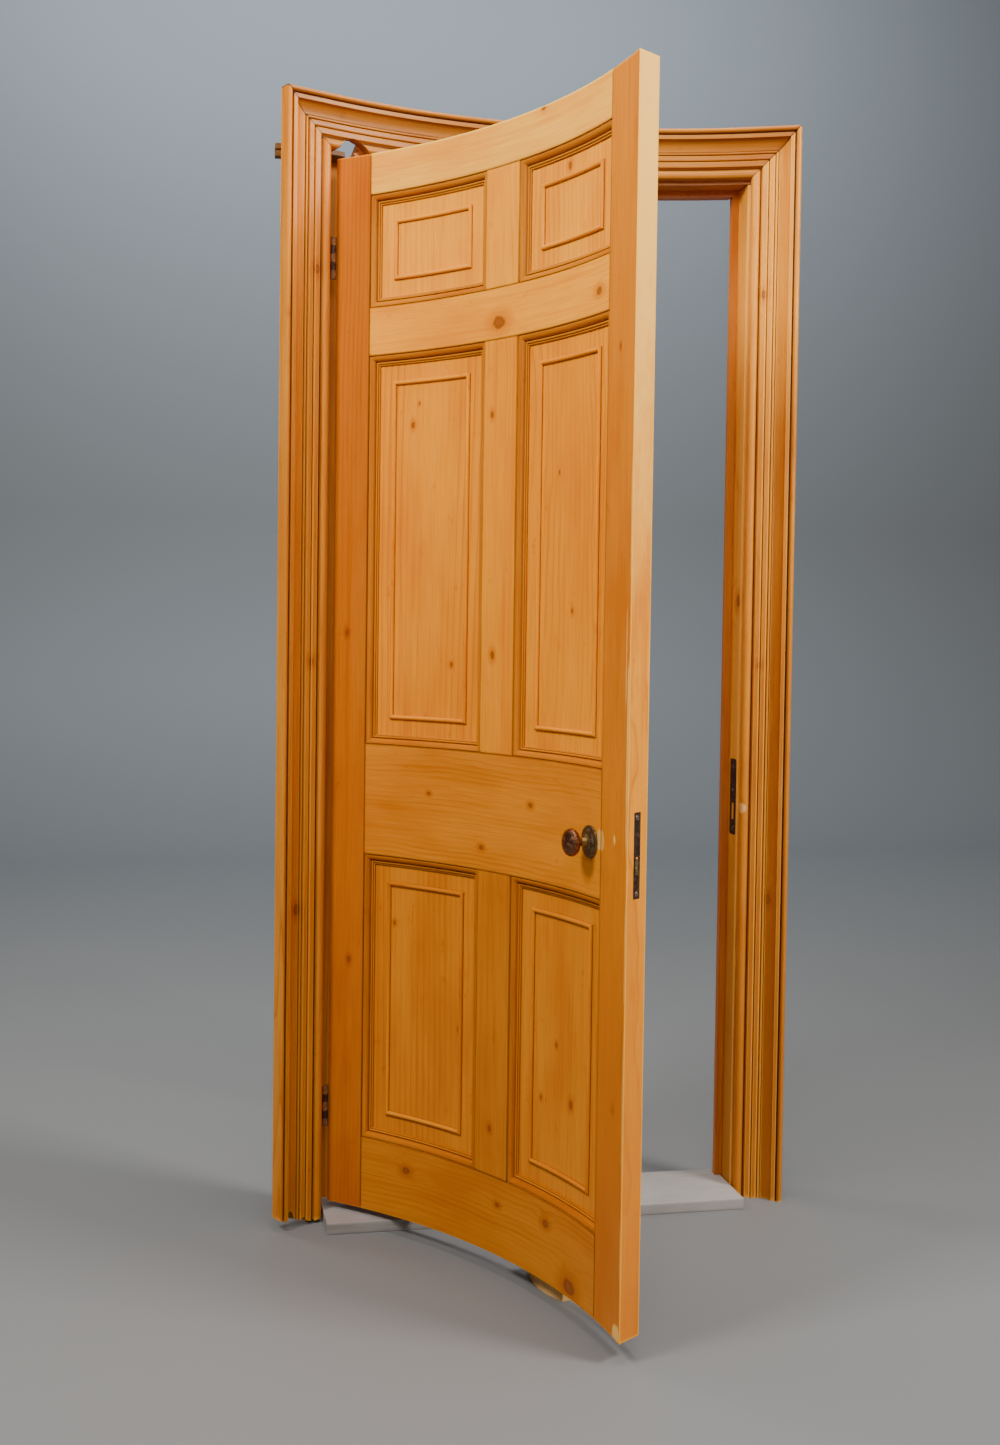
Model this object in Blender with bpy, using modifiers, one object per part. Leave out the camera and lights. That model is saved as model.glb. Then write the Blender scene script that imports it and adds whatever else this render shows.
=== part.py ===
"""A curved-on-plan pine door surround: moulded architrave and linings round a
doorway, with the six-panel door that hangs in it standing open on a chock.
Metres, +Z up. The viewer is at -Y, and the doorway is centred on X = 0."""

import math

import bmesh
import bpy
from mathutils import Matrix, Vector

GAP = 0.0003  # what fitted pieces keep between them

# The door leaf, curved on plan with its hollow face to the viewer
DOOR_CHORD = 0.840
DOOR_HEIGHT = 2.032
DOOR_THICK = 0.044
FACE_RADIUS = 1.100
FACETS = 20
OPEN_ANGLE = 62.4
CLOSING_BEVEL = 0.007
HINGE_STILE = 0.080
LOCK_STILE = 0.105
MUNTIN = 0.093
BOTTOM_RAIL = 0.1405
LOCK_RAIL = 0.213
FRIEZE_RAIL = 0.091
TOP_RAIL = 0.078
LOWER_PANEL = 0.5525
TOP_PANEL = 0.214
PANEL_SUNK = 0.014
PANEL_THICK = 0.012
MOULDING_WIDTH = 0.019
MOULDING_SUNK = 0.002
MOULDING_FOOT = 0.0025
BEAD_INSET = 0.050
BEAD_WIDTH = 0.0075
BEAD_RISE = 0.0045

# The clearances round the leaf
FLOOR_CLEAR = 0.036
HEAD_CLEAR = 0.009
SIDE_CLEAR = 0.004

# The linings of the doorway and their stops
LINING_THICK = 0.032
LINING_DEPTH = 0.070
HEAD_DEPTH = 0.100
STOP_PROUD = 0.014
HINGE_STOP_PROUD = 0.019
STOP_CLEAR = 0.001
STOP_WIDTH = 0.016
HEAD_LOST = 0.058
STUB_PAST = 0.029
HORN_PAST = 0.005
HORN_DEPTH = 0.025
HORN_SETBACK = 0.050
HORN_TALL = 0.024
HORN_KERF = 0.003
STUB_LIP = 0.008

# The moulded architrave
ARCHITRAVE_WIDTH = 0.100
ARCHITRAVE_THICK = 0.030
MARGIN = 0.007
BAND_WIDTH = 0.010
BAND_QUIRK = 0.0034
FILLET_WIDTH = 0.0080
FILLET_RISE = 0.027
COVE_RISE = 0.012
INNER_FILLET = 0.003
INNER_FILLET_RISE = 0.015
FASCIA_WIDTH = 0.0085
FASCIA_RISE = 0.017
SECOND_FASCIA = 0.010
SECOND_RISE = 0.018
FASCIA_QUIRK = 0.0040
HOLLOW_WIDTH = 0.007
BEAD_ROUND = 0.009
BEAD_TOP = 0.020
ARRIS_DROP = 0.004
QUIRK_DEPTH = 0.003
FOOT_LOSS = 0.022
TRIM_KEPT = 0.014
TRIM_LOST = (0.064, 0.024)

# What stands on the floor between the jambs and under the leaf
BOARD_DEPTH = 0.190
BOARD_THICK = 0.022
BOARD_CLEAR = 0.003
CHOCK_LENGTH = 0.135
CHOCK_WIDTH = 0.050
CHOCK_BULGE = 0.013
CHOCK_AT = (-0.065, -0.415)
CHOCK_TURN = 13.2

# The hinges, lock and knobs
PIN_OUT = 0.008
PIN_IN = 0.0017
KNUCKLE_RADIUS = 0.0055
KNUCKLES = 5
PIN_RADIUS = 0.0026
PIN_CLEAR = 0.0003
LEAF_THICK = 0.0014
LEAF_DEPTH = 0.034
HINGE_HEIGHT = 0.080
TOP_HINGE_DOWN = 0.191
BOTTOM_HINGE_UP = 0.190
FOREND = (0.016, 0.138, 0.003)
FOREND_Z = 0.7775
LATCH = (0.008, 0.026)
LATCH_DOWN = 0.018
LATCH_PROUD = 0.0015
KEYWAY = (0.007, 0.011)
KEYWAY_UP = 0.009
KEEP = (0.036, 0.157, 0.003)
KEEP_UP = 0.030
KEEP_MOUTH = (0.012, 0.034)
KEEP_FRONT = 0.006
KNOB_BACKSET = 0.144
KNOB_Z = 0.784
KNOB_RADIUS = 0.0235
KNOB_THICK = 0.025
NECK_RADIUS = 0.0075
NECK_LENGTH = 0.013
ROSE_RADIUS = 0.0275
ROSE_THICK = 0.009
TURN_STEPS = 20

# Colours
WAXED = (0.52, 0.24, 0.065)
HONEY = (0.60, 0.31, 0.10)
AMBER = (0.46, 0.18, 0.035)
PALE = (0.70, 0.44, 0.20)
IRON = (0.05, 0.035, 0.028)
BRONZE = (0.20, 0.09, 0.045)
DULL_BRASS = (0.30, 0.20, 0.08)
GREY_PAINT = (0.42, 0.39, 0.35)

# What follows from the sizes above
CENTRE_Y = -math.sqrt(FACE_RADIUS**2 - (DOOR_CHORD / 2) ** 2)
HALF_ANGLE = math.asin(DOOR_CHORD / 2 / FACE_RADIUS)
HALF_ARC = HALF_ANGLE * FACE_RADIUS
BACK_RADIUS = FACE_RADIUS + DOOR_THICK
REVEAL_X = DOOR_CHORD / 2 + SIDE_CLEAR
DOOR_TOP = FLOOR_CLEAR + DOOR_HEIGHT
HEAD_Z = DOOR_TOP + HEAD_CLEAR
HEAD_TOP = HEAD_Z + LINING_THICK
PIVOT = Vector((-DOOR_CHORD / 2 + PIN_IN, -PIN_OUT, 0))
TRIM_ANGLE = HALF_ANGLE + (MARGIN + SIDE_CLEAR) / FACE_RADIUS
TRIM_Z = HEAD_Z + MARGIN
JAMB_FRONT_Y = CENTRE_Y + math.sqrt(FACE_RADIUS**2 - REVEAL_X**2)
STOP_X = REVEAL_X - STOP_PROUD
FACET_ANGLE = 2 * HALF_ANGLE / FACETS
HEAD_BREAK_X = HEAD_LOST - REVEAL_X
STUB_END_X = STUB_PAST - REVEAL_X


def collection(name):
    made = bpy.data.collections.new(name)
    bpy.context.scene.collection.children.link(made)
    return made


def finish(name, bm, colour, roughness, metallic=0.0, parent=None, smooth=None):
    """One closed piece as an object with a material of its own."""
    bmesh.ops.remove_doubles(bm, verts=bm.verts[:], dist=2e-6)
    bmesh.ops.recalc_face_normals(bm, faces=bm.faces[:])
    mesh = bpy.data.meshes.new(name)
    bm.to_mesh(mesh)
    bm.free()
    obj = bpy.data.objects.new(name, mesh)
    parts.objects.link(obj)
    obj.parent = parent
    if smooth:
        mesh.shade_smooth()
        mesh.set_sharp_from_angle(angle=math.radians(smooth))
    material = bpy.data.materials.new(name)
    material.use_nodes = True
    shader = material.node_tree.nodes["Principled BSDF"]
    shader.inputs["Base Color"].default_value = (*colour, 1)
    shader.inputs["Roughness"].default_value = roughness
    shader.inputs["Metallic"].default_value = metallic
    mesh.materials.append(material)
    return obj


def on_arc(angle, radius, z=0.0):
    return Vector((radius * math.sin(angle), CENTRE_Y + radius * math.cos(angle), z))


def stations(start, end):
    """The angles of a curved piece, its ends and the facet lines between them."""
    between = []
    for step in range(math.ceil(start / FACET_ANGLE), math.floor(end / FACET_ANGLE) + 1):
        angle = step * FACET_ANGLE
        if start + 1e-4 < angle < end - 1e-4:
            between.append(angle)
    return [start] + between + [end]


def prism(outline, rise):
    """A flat outline drawn out along a vector."""
    bm = bmesh.new()
    face = bm.faces.new([bm.verts.new(point) for point in outline])
    drawn = bmesh.ops.extrude_face_region(bm, geom=[face])
    moved = [item for item in drawn["geom"] if isinstance(item, bmesh.types.BMVert)]
    bmesh.ops.translate(bm, verts=moved, vec=rise)
    return bm


def box(low, high):
    bm = bmesh.new()
    bmesh.ops.create_cube(bm, size=1)
    size = Vector(high) - Vector(low)
    bmesh.ops.scale(bm, verts=bm.verts[:], vec=size)
    bmesh.ops.translate(bm, verts=bm.verts[:], vec=Vector(low) + size / 2)
    return bm


def sector(start, end, inner, outer, low, high):
    """A curved board on plan: an upright ring sector between two angles."""
    angles = stations(start, end)
    outline = [on_arc(angle, inner, low) for angle in angles]
    outline += [on_arc(angle, outer, low) for angle in reversed(angles)]
    return prism(outline, Vector((0, 0, high - low)))


def trim(bm, point, outward):
    """Cuts a closed piece along a plane and closes the cut."""
    geometry = bm.verts[:] + bm.edges[:] + bm.faces[:]
    cut = bmesh.ops.bisect_plane(
        bm, geom=geometry, plane_co=point, plane_no=outward, clear_outer=True
    )
    edges = [item for item in cut["geom_cut"] if isinstance(item, bmesh.types.BMEdge)]
    bmesh.ops.holes_fill(bm, edges=edges)
    return bm


def bend(bm):
    """Bends a flat piece, X along the leaf and Y into it, round the leaf's centre."""
    reach = math.ceil(HALF_ANGLE / FACET_ANGLE)
    for step in range(-reach, reach + 1):
        geometry = bm.verts[:] + bm.edges[:] + bm.faces[:]
        line = Vector((step * FACET_ANGLE * FACE_RADIUS, 0, 0))
        bmesh.ops.bisect_plane(bm, geom=geometry, plane_co=line, plane_no=(1, 0, 0))
    for vert in bm.verts:
        x, depth, z = vert.co
        vert.co = on_arc(x / FACE_RADIUS, FACE_RADIUS + depth, z)
    return bm


def ring(centre, size, profile):
    """A mitred rectangular frame: its profile turned square, then pulled to size."""
    half = min(size) / 2
    bm = bmesh.new()
    points = [
        bm.verts.new((half - inset, depth, half - inset)) for inset, depth in profile
    ]
    edges = [
        bm.edges.new((point, points[i - 1])) for i, point in enumerate(points)
    ]
    bmesh.ops.spin(
        bm,
        geom=points + edges,
        cent=(0, 0, 0),
        axis=(0, 1, 0),
        angle=2 * math.pi,
        steps=4,
        use_merge=True,
    )
    bmesh.ops.remove_doubles(bm, verts=bm.verts[:], dist=1e-5)
    for vert in bm.verts:
        vert.co.x += math.copysign(size[0] / 2 - half, vert.co.x) + centre[0]
        vert.co.z += math.copysign(size[1] / 2 - half, vert.co.z) + centre[1]
    return bend(bm)


def cut_by(obj, name, bm):
    """A Boolean cut of the object by a closed cutter shape."""
    bmesh.ops.recalc_face_normals(bm, faces=bm.faces[:])
    mesh = bpy.data.meshes.new(name)
    bm.to_mesh(mesh)
    bm.free()
    cutter = bpy.data.objects.new(name, mesh)
    cutters.objects.link(cutter)
    cutter.parent = obj.parent
    cutter.hide_render = True
    cutter.display_type = "WIRE"
    modifier = obj.modifiers.new(name, "BOOLEAN")
    modifier.object = cutter
    modifier.operation = "DIFFERENCE"
    return cutter


def turned(name, profile, colour, roughness, metallic, parent, place):
    """A round piece: a profile of (radius, height) pairs turned about its axis."""
    bm = bmesh.new()
    verts = [bm.verts.new((radius, 0, height)) for radius, height in profile]
    for first, second in zip(verts, verts[1:]):
        bm.edges.new((first, second))
    mesh = bpy.data.meshes.new(name)
    bm.to_mesh(mesh)
    bm.free()
    obj = bpy.data.objects.new(name, mesh)
    parts.objects.link(obj)
    obj.parent = parent
    obj.matrix_local = place
    screw = obj.modifiers.new("turn", "SCREW")
    screw.axis = "Z"
    screw.steps = TURN_STEPS
    screw.render_steps = TURN_STEPS
    screw.use_merge_vertices = True
    screw.merge_threshold = 1e-5
    screw.use_smooth_shade = True
    material = bpy.data.materials.new(name)
    material.use_nodes = True
    shader = material.node_tree.nodes["Principled BSDF"]
    shader.inputs["Base Color"].default_value = (*colour, 1)
    shader.inputs["Roughness"].default_value = roughness
    shader.inputs["Metallic"].default_value = metallic
    mesh.materials.append(material)
    return obj


def quarter(width, rise, steps, hollow):
    """Points of a quarter curve from (0, 0) to (width, rise), the start left out."""
    points = []
    for step in range(1, steps + 1):
        turn = math.pi / 2 * step / steps
        if hollow:
            points.append((width * (1 - math.cos(turn)), rise * math.sin(turn)))
        else:
            points.append((width * math.sin(turn), rise * (1 - math.cos(turn))))
    return points


def architrave_profile():
    """(distance from the outer edge, height off the wall) round the moulding."""
    band = BAND_WIDTH / 2
    points = [(0, 0), (0, ARCHITRAVE_THICK - band)]
    for step in range(1, 6):
        turn = math.pi * step / 6
        points.append(
            (band - band * math.cos(turn), ARCHITRAVE_THICK - band + band * math.sin(turn))
        )
    s = BAND_WIDTH
    points += [(s, FILLET_RISE - 2 * QUIRK_DEPTH)]
    s += BAND_QUIRK
    points += [(s, FILLET_RISE - 2 * QUIRK_DEPTH), (s, FILLET_RISE)]
    s += FILLET_WIDTH
    points += [(s, FILLET_RISE), (s, FILLET_RISE - ARRIS_DROP / 4)]
    inner = BEAD_ROUND + ARRIS_DROP + HOLLOW_WIDTH + SECOND_FASCIA + FASCIA_QUIRK
    inner += FASCIA_WIDTH + FASCIA_QUIRK + INNER_FILLET + FASCIA_QUIRK / 2
    cove = ARCHITRAVE_WIDTH - s - inner
    drop = COVE_RISE - (FILLET_RISE - ARRIS_DROP / 4)
    points += [
        (s + x, FILLET_RISE - ARRIS_DROP / 4 + y) for x, y in quarter(cove, drop, 5, True)
    ]
    s += cove
    points += [(s + FASCIA_QUIRK / 4, COVE_RISE - QUIRK_DEPTH / 2)]
    s += FASCIA_QUIRK / 2
    points += [(s, INNER_FILLET_RISE)]
    s += INNER_FILLET
    points += [(s, INNER_FILLET_RISE)]
    points += [(s + FASCIA_QUIRK / 2, INNER_FILLET_RISE - QUIRK_DEPTH)]
    s += FASCIA_QUIRK
    points += [(s, FASCIA_RISE)]
    s += FASCIA_WIDTH
    points += [(s, FASCIA_RISE)]
    points += [(s + FASCIA_QUIRK / 2, FASCIA_RISE - QUIRK_DEPTH)]
    s += FASCIA_QUIRK
    points += [(s, SECOND_RISE)]
    s += SECOND_FASCIA
    points += [(s, SECOND_RISE)]
    low = BEAD_TOP - BEAD_ROUND / 2
    points += [(s + HOLLOW_WIDTH / 2, low - QUIRK_DEPTH)]
    s += HOLLOW_WIDTH
    bead = BEAD_ROUND / 2
    for step in range(7):
        turn = math.pi * step / 6
        points.append((s + bead - bead * math.cos(turn), low + bead * math.sin(turn)))
    points += [(ARCHITRAVE_WIDTH, low - ARRIS_DROP), (ARCHITRAVE_WIDTH, 0)]
    return points


def side_frame(side):
    """The inner back corner of a jamb architrave, its outward and front directions."""
    corner = on_arc(TRIM_ANGLE, FACE_RADIUS)
    outward = Vector((math.cos(TRIM_ANGLE), -math.sin(TRIM_ANGLE), 0))
    front = Vector((-math.sin(TRIM_ANGLE), -math.cos(TRIM_ANGLE), 0))
    for vector in (corner, outward, front):
        vector.x *= side
    return corner, outward, front


def jamb_architrave(side):
    corner, outward, front = side_frame(side)
    outline = [
        corner + outward * (ARCHITRAVE_WIDTH - s) + front * rise
        for s, rise in architrave_profile()
    ]
    bm = prism(outline, Vector((0, 0, TRIM_Z + 2 * ARCHITRAVE_WIDTH)))
    mitre = (Vector((0, 0, 1)) - outward).normalized()
    start = corner + Vector((0, 0, TRIM_Z)) - mitre * GAP / 2
    return trim(bm, start, mitre)


def head_architrave():
    """Curved between the jambs' inner edges, straight on the tangent past them."""
    bm = bmesh.new()
    corner, outward, front = side_frame(-1)
    outline = []
    for s, rise in architrave_profile():
        height = TRIM_Z + ARCHITRAVE_WIDTH - s
        outline.append(bm.verts.new(corner + front * rise + Vector((0, 0, height))))
    face = bm.faces.new(outline)
    angles = [-TRIM_ANGLE] + stations(-TRIM_ANGLE, TRIM_ANGLE)[1:]
    ends = [face]
    for first, second in zip(angles, angles[1:]):
        drawn = bmesh.ops.extrude_face_region(bm, geom=[ends[-1]])
        moved = [item for item in drawn["geom"] if isinstance(item, bmesh.types.BMVert)]
        turn = Matrix.Rotation(first - second, 3, "Z")
        bmesh.ops.rotate(bm, verts=moved, cent=(0, CENTRE_Y, 0), matrix=turn)
        if len(ends) > 1:
            bmesh.ops.delete(bm, geom=[ends[-1]], context="FACES_ONLY")
        ends.append([f for f in drawn["geom"] if isinstance(f, bmesh.types.BMFace)][0])
    for end, side in ((ends[0], -1), (ends[-1], 1)):
        corner, outward, front = side_frame(side)
        drawn = bmesh.ops.extrude_face_region(bm, geom=[end])
        moved = [item for item in drawn["geom"] if isinstance(item, bmesh.types.BMVert)]
        past = outward * 1.2 * ARCHITRAVE_WIDTH
        bmesh.ops.translate(bm, verts=moved, vec=past)
        bmesh.ops.delete(bm, geom=[end], context="FACES_ONLY")
    bmesh.ops.recalc_face_normals(bm, faces=bm.faces[:])
    for side in (-1, 1):
        corner, outward, front = side_frame(side)
        mitre = (outward - Vector((0, 0, 1))).normalized()
        start = corner + Vector((0, 0, TRIM_Z)) - mitre * GAP / 2
        trim(bm, start, mitre)
    return bm


def broken_foot(side):
    """The ragged outline that the foot of a jamb architrave is broken along."""
    corner, outward, front = side_frame(side)
    steps = (1.10, 0.95, 0.88, 0.80, 1.05, 1.50, 1.45, 0.72, 0.50, 0.80, 0.36, 0.27, 0.42)
    line = []
    for i, share in enumerate(steps):
        s = ARCHITRAVE_WIDTH * (1.03 - 1.06 * i / (len(steps) - 1))
        line.append(corner + outward * s + Vector((0, 0, share * FOOT_LOSS)))
    low = -FOOT_LOSS
    line.append(corner - outward * 0.03 * ARCHITRAVE_WIDTH + Vector((0, 0, low)))
    line.append(corner + outward * 1.03 * ARCHITRAVE_WIDTH + Vector((0, 0, low)))
    outline = [point - front * GAP * 10 for point in line]
    return prism(outline, front * (ARCHITRAVE_THICK + GAP * 20))


def jamb_lining(side):
    """An upright board: its reveal square to the chord, its front on the tangent."""
    corner, outward, front = side_frame(side)
    arris = Vector((side * REVEAL_X, JAMB_FRONT_Y, 0)) - front * GAP
    past = outward * (LINING_THICK / abs(outward.x))
    back = JAMB_FRONT_Y + LINING_DEPTH
    outline = [
        arris,
        arris + past,
        Vector((side * (REVEAL_X + LINING_THICK), back, 0)),
        Vector((arris.x, back, 0)),
    ]
    return prism(outline, Vector((0, 0, HEAD_Z - GAP)))


def head_board(start_x, end_x):
    """The head lining between two upright planes across the doorway."""
    reach = math.asin(max(abs(start_x), abs(end_x)) / FACE_RADIUS) + FACET_ANGLE
    corner, outward, front = side_frame(1)
    straight = (REVEAL_X + LINING_THICK - corner.x) / outward.x
    inner = FACE_RADIUS + GAP + straight**2 / (2 * FACE_RADIUS)
    outer = FACE_RADIUS + HEAD_DEPTH
    bm = sector(-reach, reach, inner, outer, HEAD_Z, HEAD_TOP)
    trim(bm, Vector((start_x, 0, 0)), Vector((-1, 0, 0)))
    return trim(bm, Vector((end_x, 0, 0)), Vector((1, 0, 0)))


def fit(start, end):
    """The two ends of a piece that fits between neighbours."""
    return start + GAP, end - GAP


for old in list(bpy.data.objects):
    bpy.data.objects.remove(old, do_unlink=True)

parts = collection("curved_door_surround")
cutters = collection("cutters")

# The linings: two jambs, and a head of which the left end is broken away
finish("lining_left", jamb_lining(-1), WAXED, 0.45)
right = finish("lining_right", jamb_lining(1), WAXED, 0.45)
board_end = REVEAL_X + LINING_THICK
head = finish("lining_head", head_board(HEAD_BREAK_X - 0.03, board_end), WAXED, 0.45)
back_y = CENTRE_Y + FACE_RADIUS + HEAD_DEPTH
edge = [(0.030, -0.01), (0.006, 0.0), (0.012, 0.3), (0.0, 0.45), (0.009, 0.8), (-0.004, 1.02)]
ragged = [Vector((HEAD_BREAK_X - x, JAMB_FRONT_Y, HEAD_Z + z * LINING_THICK)) for x, z in edge]
ragged.append(Vector((HEAD_BREAK_X - 0.06, JAMB_FRONT_Y, HEAD_TOP + GAP)))
ragged.append(Vector((HEAD_BREAK_X - 0.06, JAMB_FRONT_Y, HEAD_Z - GAP)))
cut_by(head, "cut_head_break", prism(ragged, Vector((0, back_y - JAMB_FRONT_Y, 0))))

corner, outward, front = side_frame(-1)
horn_end = (corner + outward * ARCHITRAVE_WIDTH).x - HORN_PAST
stub = finish("lining_head_stub", head_board(horn_end, STUB_END_X), AMBER, 0.6)
horn_y = CENTRE_Y + math.sqrt(FACE_RADIUS**2 - board_end**2) + HORN_SETBACK
for name, low, high in (
    ("cut_horn_front", horn_y - 0.2, horn_y),
    ("cut_horn_back", horn_y + HORN_DEPTH, horn_y + 0.2),
):
    block = box((horn_end - 0.01, low, HEAD_Z - 0.01), (-board_end, high, HEAD_TOP + 0.01))
    cut_by(stub, name, block)
low = Vector((horn_end - 0.01, horn_y - 0.01, HEAD_Z + HORN_TALL))
high = Vector((-board_end, horn_y + HORN_DEPTH + 0.01, HEAD_TOP + 0.01))
cut_by(stub, "cut_horn_top", box(low, high))
middle = HEAD_Z + HORN_TALL / 2
kerf = box(
    (horn_end - 0.01, horn_y - 0.01, middle - HORN_KERF / 2),
    (-board_end - 0.004, horn_y + HORN_DEPTH + 0.01, middle + HORN_KERF / 2),
)
cut_by(stub, "cut_horn_kerf", kerf)
lip = [
    Vector((-REVEAL_X - 0.012, JAMB_FRONT_Y - 0.02, HEAD_TOP + 0.01)),
    Vector((-REVEAL_X - 0.004, JAMB_FRONT_Y - 0.02, HEAD_Z + 2.2 * STUB_LIP)),
    Vector((-REVEAL_X + 0.006, JAMB_FRONT_Y - 0.02, HEAD_Z + 1.2 * STUB_LIP)),
    Vector((STUB_END_X + 0.01, JAMB_FRONT_Y - 0.02, HEAD_Z + STUB_LIP)),
    Vector((STUB_END_X + 0.01, JAMB_FRONT_Y - 0.02, HEAD_TOP + 0.01)),
]
cut_by(stub, "cut_stub_lip", prism(lip, Vector((0, HEAD_DEPTH + 0.08, 0))))

# The stops that the leaf shuts against
for side, name, proud in ((-1, "stop_left", HINGE_STOP_PROUD), (1, "stop_right", STOP_PROUD)):
    near = side * (REVEAL_X - proud)
    far = side * (REVEAL_X - GAP)
    front_y = CENTRE_Y + math.sqrt(BACK_RADIUS**2 - near**2) + STOP_CLEAR
    bm = box(
        (min(near, far), front_y, BOARD_THICK + GAP),
        (max(near, far), front_y + STOP_WIDTH, HEAD_Z - GAP),
    )
    finish(name, bm, WAXED, 0.5)
stop_inner = BACK_RADIUS + STOP_CLEAR
bm = sector(
    -HALF_ANGLE, HALF_ANGLE, stop_inner, stop_inner + 1.5 * STOP_WIDTH,
    HEAD_Z - STOP_PROUD, HEAD_Z - GAP,
)
trim(bm, Vector((HEAD_BREAK_X, 0, 0)), Vector((-1, 0, 0)))
finish("stop_head", trim(bm, Vector((STOP_X - GAP, 0, 0)), Vector((1, 0, 0))), WAXED, 0.5)

# The moulded architrave, mitred at the top corners; its left foot is broken,
# and a piece of the head's inner edge is gone beside the left mitre
left = finish("architrave_left", jamb_architrave(-1), HONEY, 0.4, smooth=35)
cut_by(left, "cut_left_foot", broken_foot(-1))
finish("architrave_right", jamb_architrave(1), HONEY, 0.4, smooth=35)
head_trim = finish("architrave_head", head_architrave(), HONEY, 0.4, smooth=35)
length, height = TRIM_LOST
start_x = -FACE_RADIUS * math.sin(TRIM_ANGLE) + TRIM_KEPT
steps = [(0, -0.2), (0, 0.05), (0.20, 0.88), (0.43, 1), (0.66, 0.78), (0.85, 0.5), (1, 0), (1, -0.2)]
ragged = [Vector((start_x + x * length, -0.12, TRIM_Z + z * height)) for x, z in steps]
cut_by(head_trim, "cut_trim_break", prism(ragged, Vector((0, 0.24, 0))))

# The threshold board and the chock under the leaf
reach = REVEAL_X - BOARD_CLEAR
board = box((-reach, -BOARD_DEPTH / 2, 0), (reach, BOARD_DEPTH / 2, BOARD_THICK))
finish("threshold_board", board, GREY_PAINT, 0.6)
half = CHOCK_LENGTH / 2
crescent = [Vector((CHOCK_WIDTH, half, 0)), Vector((CHOCK_WIDTH, -half, 0))]
for step in range(-5, 6):
    along = step / 5
    crescent.append(Vector((-CHOCK_BULGE * (1 - along**2), along * half, 0)))
crescent = prism(crescent, Vector((0, 0, FLOOR_CLEAR - GAP)))
chock = finish("chock", crescent, PALE, 0.7)
chock.location = (*CHOCK_AT, 0)
chock.rotation_euler = (0, 0, math.radians(CHOCK_TURN))

# The leaf: everything on it is drawn shut, about the hinge pins, then swung open
swing = bpy.data.objects.new("leaf_pivot", None)
parts.objects.link(swing)
swing.location = PIVOT
swing.rotation_euler = (0, 0, -math.radians(OPEN_ANGLE))


def leaf_piece(name, bm, colour, roughness, metallic=0.0, smooth=None):
    bmesh.ops.translate(bm, verts=bm.verts[:], vec=-PIVOT)
    return finish(name, bm, colour, roughness, metallic, swing, smooth)


def panel_sector(start, end, front, back, low, high):
    near = FACE_RADIUS + front
    far = FACE_RADIUS + back
    return sector(start / FACE_RADIUS, end / FACE_RADIUS, near, far, low, high)


closing = Vector((DOOR_CHORD / 2, 0, 0))
closing_back = CENTRE_Y + math.sqrt(BACK_RADIUS**2 - (closing.x - CLOSING_BEVEL) ** 2)
edge_out = Vector((closing_back, CLOSING_BEVEL, 0)).normalized()
edge_in = Vector((-CLOSING_BEVEL, closing_back, 0)).normalized()
hinge_x = -HALF_ARC + HINGE_STILE
lock_x = HALF_ARC - LOCK_STILE
panel_width = (lock_x - hinge_x - MUNTIN) / 2
columns = ((hinge_x, hinge_x + panel_width), (lock_x - panel_width, lock_x))

z_low = FLOOR_CLEAR
past = FACET_ANGLE * FACE_RADIUS
bm = panel_sector(-HALF_ARC - past, hinge_x, 0, DOOR_THICK, z_low, DOOR_TOP)
trim(bm, Vector((-closing.x, 0, 0)), Vector((-1, 0, 0)))
leaf_piece("hinge_stile", bm, AMBER, 0.35)
bm = panel_sector(lock_x, HALF_ARC + past, 0, DOOR_THICK, z_low, DOOR_TOP)
trim(bm, closing, edge_out)
lock_stile = leaf_piece("lock_stile", bm, AMBER, 0.35)

lower = z_low + BOTTOM_RAIL
lock_low = lower + LOWER_PANEL
lock_high = lock_low + LOCK_RAIL
top_high = DOOR_TOP - TOP_RAIL
top_low = top_high - TOP_PANEL
middle_high = top_low - FRIEZE_RAIL
for name, low, high, colour in (
    ("bottom_rail", z_low, lower, AMBER),
    ("lock_rail", lock_low, lock_high, AMBER),
    ("frieze_rail", middle_high, top_low, PALE),
    ("top_rail", top_high, DOOR_TOP, PALE),
):
    bm = panel_sector(*fit(hinge_x, lock_x), 0, DOOR_THICK, low, high)
    leaf_piece(name, bm, colour, 0.35)

half_round = [(0, MOULDING_SUNK), (MOULDING_FOOT, MOULDING_SUNK)]
depth = PANEL_SUNK - GAP - MOULDING_SUNK
for x, y in quarter(MOULDING_WIDTH - 2 * MOULDING_FOOT, depth - MOULDING_FOOT, 5, False):
    half_round.append((MOULDING_FOOT + x, MOULDING_SUNK + y))
half_round.append((MOULDING_WIDTH, PANEL_SUNK - GAP - MOULDING_FOOT))
half_round.append((MOULDING_WIDTH, PANEL_SUNK - GAP))
half_round.append((0, PANEL_SUNK - GAP))
face = PANEL_SUNK - GAP
bead = [
    (0, face),
    (0, face - BEAD_RISE / 2),
    (BEAD_WIDTH / 4, face - BEAD_RISE),
    (BEAD_WIDTH * 3 / 4, face - BEAD_RISE),
    (BEAD_WIDTH, face - BEAD_RISE / 2),
    (BEAD_WIDTH, face),
]
rows = (("lower", lower, lock_low), ("middle", lock_high, middle_high), ("top", top_low, top_high))
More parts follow.
